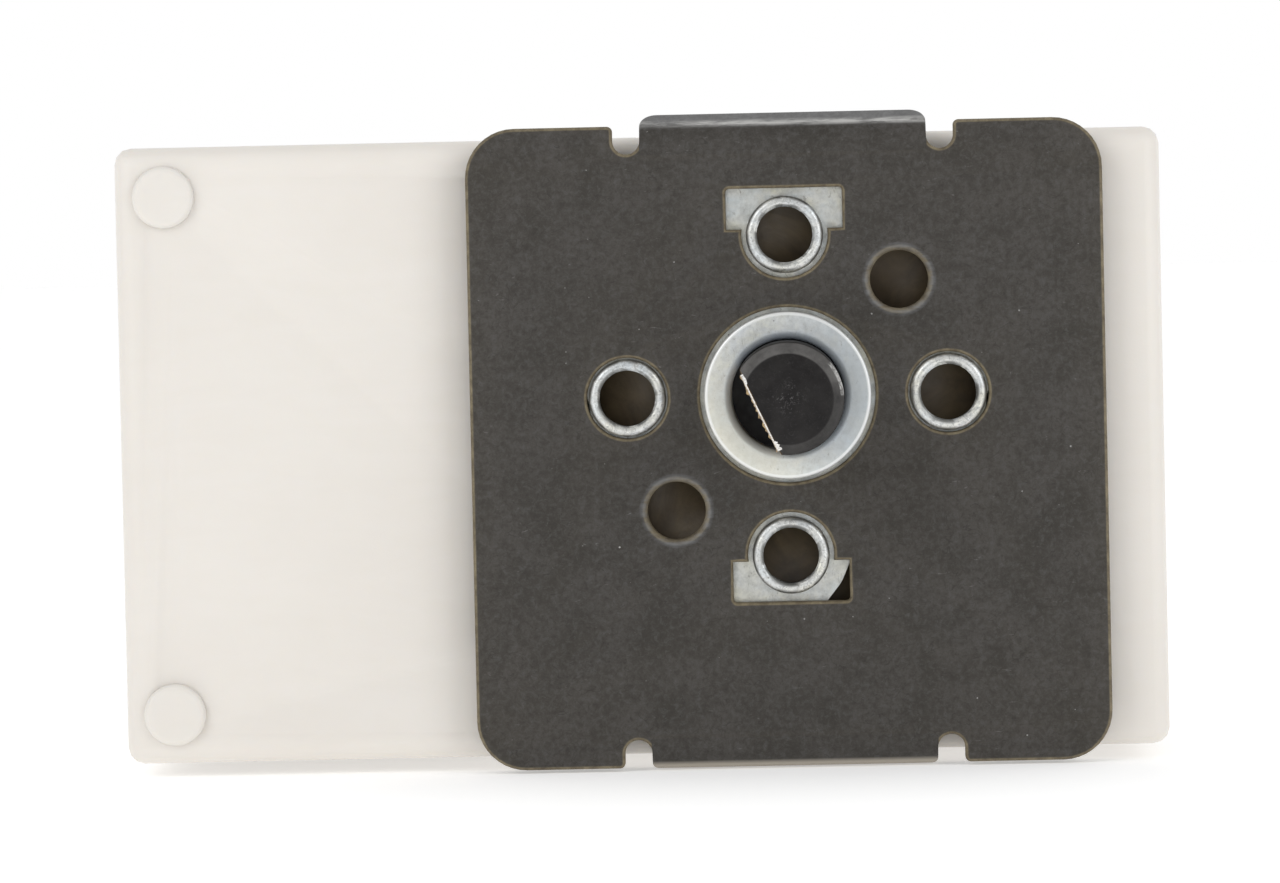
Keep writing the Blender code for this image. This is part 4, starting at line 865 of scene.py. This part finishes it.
def rolled_hole(centre):
    """Cutter for a plain hole whose front edge is rolled in."""
    roll = PLAIN_HOLE_ROLL
    lip = [(PLAIN_HOLE_RADIUS + roll * (1 - math.cos(turn)), roll * (math.sin(turn) - 1))
           for turn in (QUARTER_TURN * (1 - step / 10) for step in range(11))]
    profile = [(0, CUT_PAST), (lip[0][0], CUT_PAST)] + lip
    profile += [(PLAIN_HOLE_RADIUS, -PLATE_THICKNESS - CUT_PAST), (0, -PLATE_THICKNESS - CUT_PAST)]
    return turned("cutter", profile, 64, centre)


def mounting_plate():
    """The dark sheet, with its holes and windows, bent-back lips and two rolled holes."""
    holes = [circle(COLLAR_RADIUS + COLLAR_CLEARANCE), t_window(1), t_window(-1)]
    holes += [circle(BOSS_RADIUS + BOSS_CLEARANCE, fixing(angle), 64) for angle in BESIDE_ANGLES]
    outline = rounded(blank_half(1, UPPER_LIP) + blank_half(-1, LOWER_LIP))
    bm = rolled_sheet([outline] + [points[::-1] for points in holes], PLATE_THICKNESS, EDGE_ROLL)
    bend_lip(bm, 1, UPPER_LIP)
    bend_lip(bm, -1, LOWER_LIP)
    obj = make_object("mounting_plate_fine", bm)
    for angle in PLAIN_HOLE_ANGLES:
        boolean(obj, rolled_hole(fixing(angle)), 'DIFFERENCE')
    place(obj, STEEL, "mounting_plate", sharp=30)


# ---------------------------------------------------------------- bush plate, bosses and collar

def thread(radius, z, angle):
    """The tapped bore's radius: a helix of V grooves cut outwards from the crest."""
    if z > THREAD_START or z < BUSH_REAR:
        return radius
    phase = (z / THREAD_PITCH - angle / FULL_TURN) % 1.0
    return BOSS_BORE + THREAD_DEPTH * (1 - abs(2 * phase - 1))


def boss(centre):
    """A boss to join to the bush plate."""
    rim = rounded_rim(BOSS_RADIUS, BOSS_FRONT, BOSS_EDGE)
    middle = (BUSH_FRONT + BUSH_REAR) / 2
    return turned("boss", [(0, BOSS_FRONT)] + rim + [(BOSS_RADIUS, middle), (0, middle)], 64, centre)


def tapped_bore(centre):
    """Cutter for a countersunk bore with a thread."""
    front = BOSS_FRONT + CUT_PAST
    floor = BUSH_REAR - CUT_PAST
    start = BOSS_FRONT - BORE_MOUTH
    steps = int((start - floor) / (THREAD_PITCH / 6))
    run = [(BOSS_BORE, start + (floor - start) * step / steps) for step in range(steps + 1)]
    mouth = BOSS_BORE + BORE_MOUTH
    lead = [(mouth, front), (mouth, BOSS_FRONT), (BOSS_BORE + 0.05, BOSS_FRONT - 0.1)]
    return turned("bore", [(0, front)] + lead + run + [(0, floor)], 48, centre, thread)


def bush_plate():
    """The zinc-plated cross, its lower right arm cut back, with four tapped bosses and two rivet seats."""
    arm, band, web, ends, side, fillet, round_end = 4.1, 3.95, 1.25, 12.6, 15.6, 0.6, 1.2
    cut_back = [(0.9, -ends, fillet), (2.72, -10.3, 2.0), (3.5, -8.5, 1.0), (arm, -7.6, fillet)]
    right = [(arm, -band - web, fillet), (arm + web, -band, fillet), (side, -band, round_end),
             (side, band, round_end), (arm + web, band, fillet), (arm, band + web, fillet),
             (arm, ends, fillet)]
    left = [(-arm, ends, fillet), (-arm, band + web, fillet), (-arm - web, band, fillet),
            (-side, band, round_end), (-side, -band, round_end), (-arm - web, -band, fillet),
            (-arm, -band - web, fillet), (-arm, -ends, fillet)]
    bm = flat_outline([rounded(cut_back + right + left, 6), circle(SPIGOT_RADIUS + GAP)])
    bmesh.ops.translate(bm, verts=bm.verts, vec=(0, 0, BUSH_FRONT))
    obj = thicken(make_object("bush_plate_fine", bm), BUSH_FRONT - BUSH_REAR)
    for angle in BOSS_ANGLES:
        boolean(obj, boss(fixing(angle)), 'UNION')
        boolean(obj, tapped_bore(fixing(angle)), 'DIFFERENCE')
    front, rear = BUSH_FRONT + RIVET_CUT_PAST, BUSH_REAR - RIVET_CUT_PAST
    seat = [(0, front), (RIVET_HEAD_RADIUS, front), (RIVET_SHANK_RADIUS, rear), (0, rear)]
    for x in (-RIVET_X, RIVET_X):
        boolean(obj, turned("seat", seat, 48, (x, RIVET_Y)), 'DIFFERENCE')
    place(obj, ZINC, "bush_plate", sharp=50)


def collar():
    """The bush round the shaft, with a flared mouth and a spigot behind its flange."""
    throat = COLLAR_THROAT
    inner = [(COLLAR_BORE + throat * (1 - math.cos(turn)), COLLAR_FRONT - throat * (1 - math.sin(turn)))
             for turn in (QUARTER_TURN * step / 10 for step in range(11))]
    outer = rounded_rim(COLLAR_RADIUS, COLLAR_FRONT, COLLAR_RIM)
    profile = inner + outer + [(COLLAR_RADIUS, COLLAR_SHOULDER), (SPIGOT_RADIUS, COLLAR_SHOULDER),
                               (SPIGOT_RADIUS, SPIGOT_END), (COLLAR_BORE, SPIGOT_END)]
    place(turned("shaft_bush_fine", profile, 128), COLLAR_ZINC, "shaft_bush")


# ---------------------------------------------------------------- shaft and pins

def block(name, low, high):
    """A box between two corners, for cutting."""
    bm = bmesh.new()
    bmesh.ops.create_cube(bm, size=1.0)
    size = Vector(high) - Vector(low)
    centre = (Vector(high) + Vector(low)) / 2
    bmesh.ops.transform(bm, matrix=Matrix.Translation(centre) @ Matrix.Diagonal((*size, 1)), verts=bm.verts)
    return make_object(name, bm)


def shaft():
    """The D-shaft, with its chamfered end, clip groove and rear journal."""
    tip = SHAFT_RADIUS - SHAFT_CHAMFER
    soft = SHAFT_SOFTENING
    profile = [(0, SHAFT_FRONT), (tip - soft, SHAFT_FRONT), (tip + soft * 0.6, SHAFT_FRONT - soft * 0.5),
               (SHAFT_RADIUS - soft, SHAFT_FRONT - SHAFT_CHAMFER + soft),
               (SHAFT_RADIUS, SHAFT_FRONT - SHAFT_CHAMFER - soft),
               (SHAFT_RADIUS, CLIP_FRONT), (GROOVE_RADIUS, CLIP_FRONT), (GROOVE_RADIUS, CLIP_REAR),
               (SHAFT_RADIUS, CLIP_REAR), (SHAFT_RADIUS, JOURNAL_START), (JOURNAL_RADIUS, JOURNAL_START),
               (JOURNAL_RADIUS, JOURNAL_END), (0, JOURNAL_END)]
    obj = turned("shaft_fine", profile, 128)
    flat = block("flat", (FLAT_OFFSET, -5, JOURNAL_START + 0.01), (FLAT_OFFSET + 5, 5, SHAFT_FRONT + 1))
    flat.data.transform(Matrix.Rotation(FLAT_ANGLE, 4, 'Z'))
    boolean(obj, flat, 'DIFFERENCE')
    place(obj, BLACK, "shaft", sharp=30)


def shaft_burr():
    """The bright ragged edge that milling left where the flat meets the end face."""
    random.seed(BURR_SEED)
    half = math.sqrt((SHAFT_RADIUS - BURR_INSET) ** 2 - FLAT_OFFSET ** 2)
    bm = bmesh.new()
    rows = []
    for index in range(BURR_ROWS + 1):
        across = -half + 2 * half * index / BURR_ROWS
        proud = 0.09 + 0.15 * random.random() ** 2
        thin = 0.07 + 0.16 * random.random() ** 2
        inner = FLAT_OFFSET - thin
        drop = max(math.hypot(across, inner) - SHAFT_RADIUS + SHAFT_CHAMFER - 0.04, 0.0)
        top = SHAFT_FRONT - drop
        section = ((inner, top - 0.005), (FLAT_OFFSET + BURR_CREST, top - 0.0025),
                   (FLAT_OFFSET + proud, top - 0.05), (FLAT_OFFSET + proud * 0.6, top - 0.16),
                   (inner, top - 0.14))
        rows.append([bm.verts.new((x, across, z)) for x, z in section])
    for first, second in zip(rows, rows[1:]):
        for side in range(len(first)):
            after = (side + 1) % len(first)
            bm.faces.new((first[side], first[after], second[after], second[side]))
    bm.faces.new(rows[0])
    bm.faces.new(reversed(rows[-1]))
    bmesh.ops.recalc_face_normals(bm, faces=bm.faces)
    obj = make_object("shaft_burr", bm)
    obj.data.transform(Matrix.Rotation(FLAT_ANGLE, 4, 'Z'))
    place(obj, TORN, "shaft", replaced=False)


def closing_pins():
    """Two pins with round heads, each faintly dished in the middle."""
    profile = [(0, PIN_FRONT - 0.03), (0.9, PIN_FRONT - 0.01)]
    profile += rounded_rim(PIN_HEAD_RADIUS, PIN_FRONT, PIN_HEAD_EDGE)
    profile += [(PIN_HEAD_RADIUS, PIN_UNDER), (PIN_SHANK_RADIUS, PIN_UNDER),
                (PIN_SHANK_RADIUS, PIN_END), (0, PIN_END)]
    for name, y in zip(("closing_pin_upper", "closing_pin_lower"), PIN_YS):
        place(turned(name + "_fine", profile, 64, (PIN_X, y)), CREAM, name)


# ---------------------------------------------------------------- springs

def coil(node, turns):
    """A round-wire spring with closed ends, as long and as wide as its CAD node."""
    low, high = (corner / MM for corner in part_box(node))
    axis = (low + high) / 2
    radius = (high.z - low.z - SPRING_WIRE) / 2
    pitch = (high.x - low.x - SPRING_WIRE - 2 * CLOSED_PITCH) / (turns - 2)
    bm = bmesh.new()
    rings = []
    for index in range(turns * SPRING_STEPS + 1):
        turn = index / SPRING_STEPS
        advance = (min(turn, 1) + max(turn - turns + 1, 0)) * CLOSED_PITCH
        advance += min(max(turn - 1, 0), turns - 2) * pitch
        outward = Vector((0, -math.sin(FULL_TURN * turn), math.cos(FULL_TURN * turn)))
        centre = Vector((low.x + SPRING_WIRE / 2 + advance, axis.y, axis.z)) + outward * radius
        ring = []
        for step in range(WIRE_SIDES):
            angle = FULL_TURN * step / WIRE_SIDES
            around = outward * math.cos(angle) + Vector((math.sin(angle), 0, 0))
            ring.append(bm.verts.new((centre + around * SPRING_WIRE / 2) * MM))
        rings.append(ring)
    for near, far in zip(rings, rings[1:]):
        for step in range(WIRE_SIDES):
            after = (step + 1) % WIRE_SIDES
            bm.faces.new((near[step], near[after], far[after], far[step]))
    bm.faces.new(rings[0])
    bm.faces.new(reversed(rings[-1]))
    bmesh.ops.recalc_face_normals(bm, faces=bm.faces)
    obj = make_object(node + "_coil", bm)
    smooth(obj)
    obj.data.materials.append(SPRING)
    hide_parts(node)
    return obj


def return_springs():
    """The two return springs, coiled where their CAD nodes stand; they ride no body."""
    for node in ("return_spring_upper", "return_spring_lower"):
        obj = coil(node, RETURN_TURNS)
        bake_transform(obj)


def contact_springs():
    """They ride whole, because the bridges don't move against the carrier."""
    for node in ("contact_spring_1", "contact_spring_2"):
        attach(coil(node, CONTACT_TURNS), "carrier")


# ---------------------------------------------------------------- carried-over CAD nodes

def dress_node(node, width):
    """Gives a CAD node its finish, and rounds its edges without touching its mesh."""
    obj = frame["nodes"][node]
    slot = next(part["material_slot"] for part in frame["record"]["subparts"] if part["node"] == node)
    if not obj.material_slots:
        obj.data.materials.append(None)
    for material_slot in obj.material_slots:
        material_slot.material = SLOT_FINISH[slot]
    for polygon in obj.data.polygons:
        polygon.use_smooth = True
    weld = obj.modifiers.new("weld", 'WELD')
    weld.merge_threshold = MERGE * MM
    if width:
        edges = obj.modifiers.new("edges", 'BEVEL')
        edges.width = width * MM
        edges.segments = 2
        edges.limit_method = 'ANGLE'
        edges.angle_limit = math.radians(35)
        edges.use_clamp_overlap = True
        edges.miter_outer = 'MITER_ARC'
        edges.harden_normals = True


EDGE_WIDTHS = {"front_cover": 0.16, "rear_base": 0.16, "terminal_1a": 0.1, "terminal_1b": 0.1,
               "terminal_2a": 0.1, "terminal_2b": 0.1, "case_screw_upper": 0.08, "case_screw_lower": 0.08,
               "cam_drum": 0.1, "contact_carrier": 0.12, "detent_leaf_spring": 0.04, "thrust_washer": 0.05,
               "retaining_clip": 0.05, "contact_bridge_1": 0.06, "contact_bridge_2": 0.06,
               "plate_rivet_left": 0.05, "plate_rivet_right": 0.05}


# ---------------------------------------------------------------- stage

ROOM_FRONT = 0.6
ROOM_SIDE = 0.6
ROOM_BACK = 1.0
ROOM_STOPS = ((0.04, ROOM_FRONT), (0.24, ROOM_SIDE), (0.52, ROOM_SIDE), (0.7, ROOM_BACK))
FLOOR_RADIUS = 2500
FLOOR_GAP = 0.05
FLOOR_GLOW = 0.31
LIT_POINT = (-8, 0, -3)
CAMERA_ANGLES = (1.14, 1.99, -1.25)  # azimuth, elevation and roll, in degrees
CAMERA_DISTANCE = 380
CAMERA_LENS = 196.26
CAMERA_TARGET = (-8.1, 0, -2.36)


def area_light(name, place_mm, size_mm, power):
    light = bpy.data.lights.new(name, 'AREA')
    light.shape = 'RECTANGLE'
    light.size = size_mm[0] * MM
    light.size_y = size_mm[1] * MM
    light.energy = power
    obj = bpy.data.objects.new(name, light)
    obj.location = Vector(place_mm) * MM
    obj.rotation_euler = (Vector(LIT_POINT) * MM - obj.location).to_track_quat('-Z', 'Y').to_euler()
    obj.visible_camera = False
    bpy.context.scene.collection.objects.link(obj)


def make_floor():
    bm = bmesh.new()
    floor_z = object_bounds()[0][2] - FLOOR_GAP * MM
    bmesh.ops.create_circle(bm, cap_ends=True, segments=96, radius=FLOOR_RADIUS * MM)
    bmesh.ops.translate(bm, verts=bm.verts, vec=(0, 0, floor_z))
    floor = make_object("floor", bm)
    paper = Finish("paper", 0.0, Roughness=0.9)
    paper.colour(paper.ramp(paper.noise(0.02, 3), (0.3, 0.9), (0.7, 0.92)))
    paper.shader.inputs['Emission Color'].default_value = (1, 1, 1, 1)
    paper.shader.inputs['Emission Strength'].default_value = FLOOR_GLOW
    floor.data.materials.append(paper.material)


def make_room():
    """An even white room, darker on the viewer's side, and two softboxes."""
    world = bpy.data.worlds.new("studio")
    bpy.context.scene.world = world
    world.use_nodes = True
    tree = world.node_tree
    where = tree.nodes.new('ShaderNodeTexCoord')
    split = tree.nodes.new('ShaderNodeSeparateXYZ')
    tree.links.new(where.outputs['Generated'], split.inputs[0])
    span = tree.nodes.new('ShaderNodeMapRange')
    tree.links.new(split.outputs[1], span.inputs['Value'])
    span.inputs['From Min'].default_value = -1
    span.inputs['From Max'].default_value = 1
    levels = tree.nodes.new('ShaderNodeValToRGB')
    tree.links.new(span.outputs['Result'], levels.inputs['Fac'])
    fill_ramp(levels, ROOM_STOPS)
    tree.links.new(levels.outputs['Color'], tree.nodes['Background'].inputs['Color'])
    area_light("softbox_left", (-330, -330, 240), (260, 360), 0.6)
    area_light("softbox_right", (330, -300, 160), (220, 320), 0.4)


def make_camera():
    azimuth, elevation, roll = (math.radians(angle) for angle in CAMERA_ANGLES)
    back = Vector((math.sin(azimuth) * math.cos(elevation), -math.cos(azimuth) * math.cos(elevation),
                   math.sin(elevation)))
    level = (-back).cross(Vector((0, 0, 1))).normalized()
    upright = level.cross(-back)
    right = level * math.cos(roll) + upright * math.sin(roll)
    up = upright * math.cos(roll) - level * math.sin(roll)
    data = bpy.data.cameras.new("camera")
    data.lens = CAMERA_LENS
    data.sensor_width = 36
    data.clip_start = 0.01
    camera = bpy.data.objects.new("camera", data)
    axes = Matrix((right, up, back)).transposed().to_4x4()
    place_mm = Vector(CAMERA_TARGET) + back * CAMERA_DISTANCE
    camera.matrix_world = Matrix.Translation(place_mm * MM) @ axes
    bpy.context.scene.collection.objects.link(camera)
    bpy.context.scene.camera = camera


# ---------------------------------------------------------------- build

bpy.context.scene.view_settings.view_transform = 'Standard'
make_camera()
mounting_plate()
bush_plate()
collar()
shaft()
shaft_burr()
closing_pins()
return_springs()
contact_springs()
for node_name in frame["nodes"]:
    dress_node(node_name, EDGE_WIDTHS.get(node_name, 0))
make_floor()
make_room()
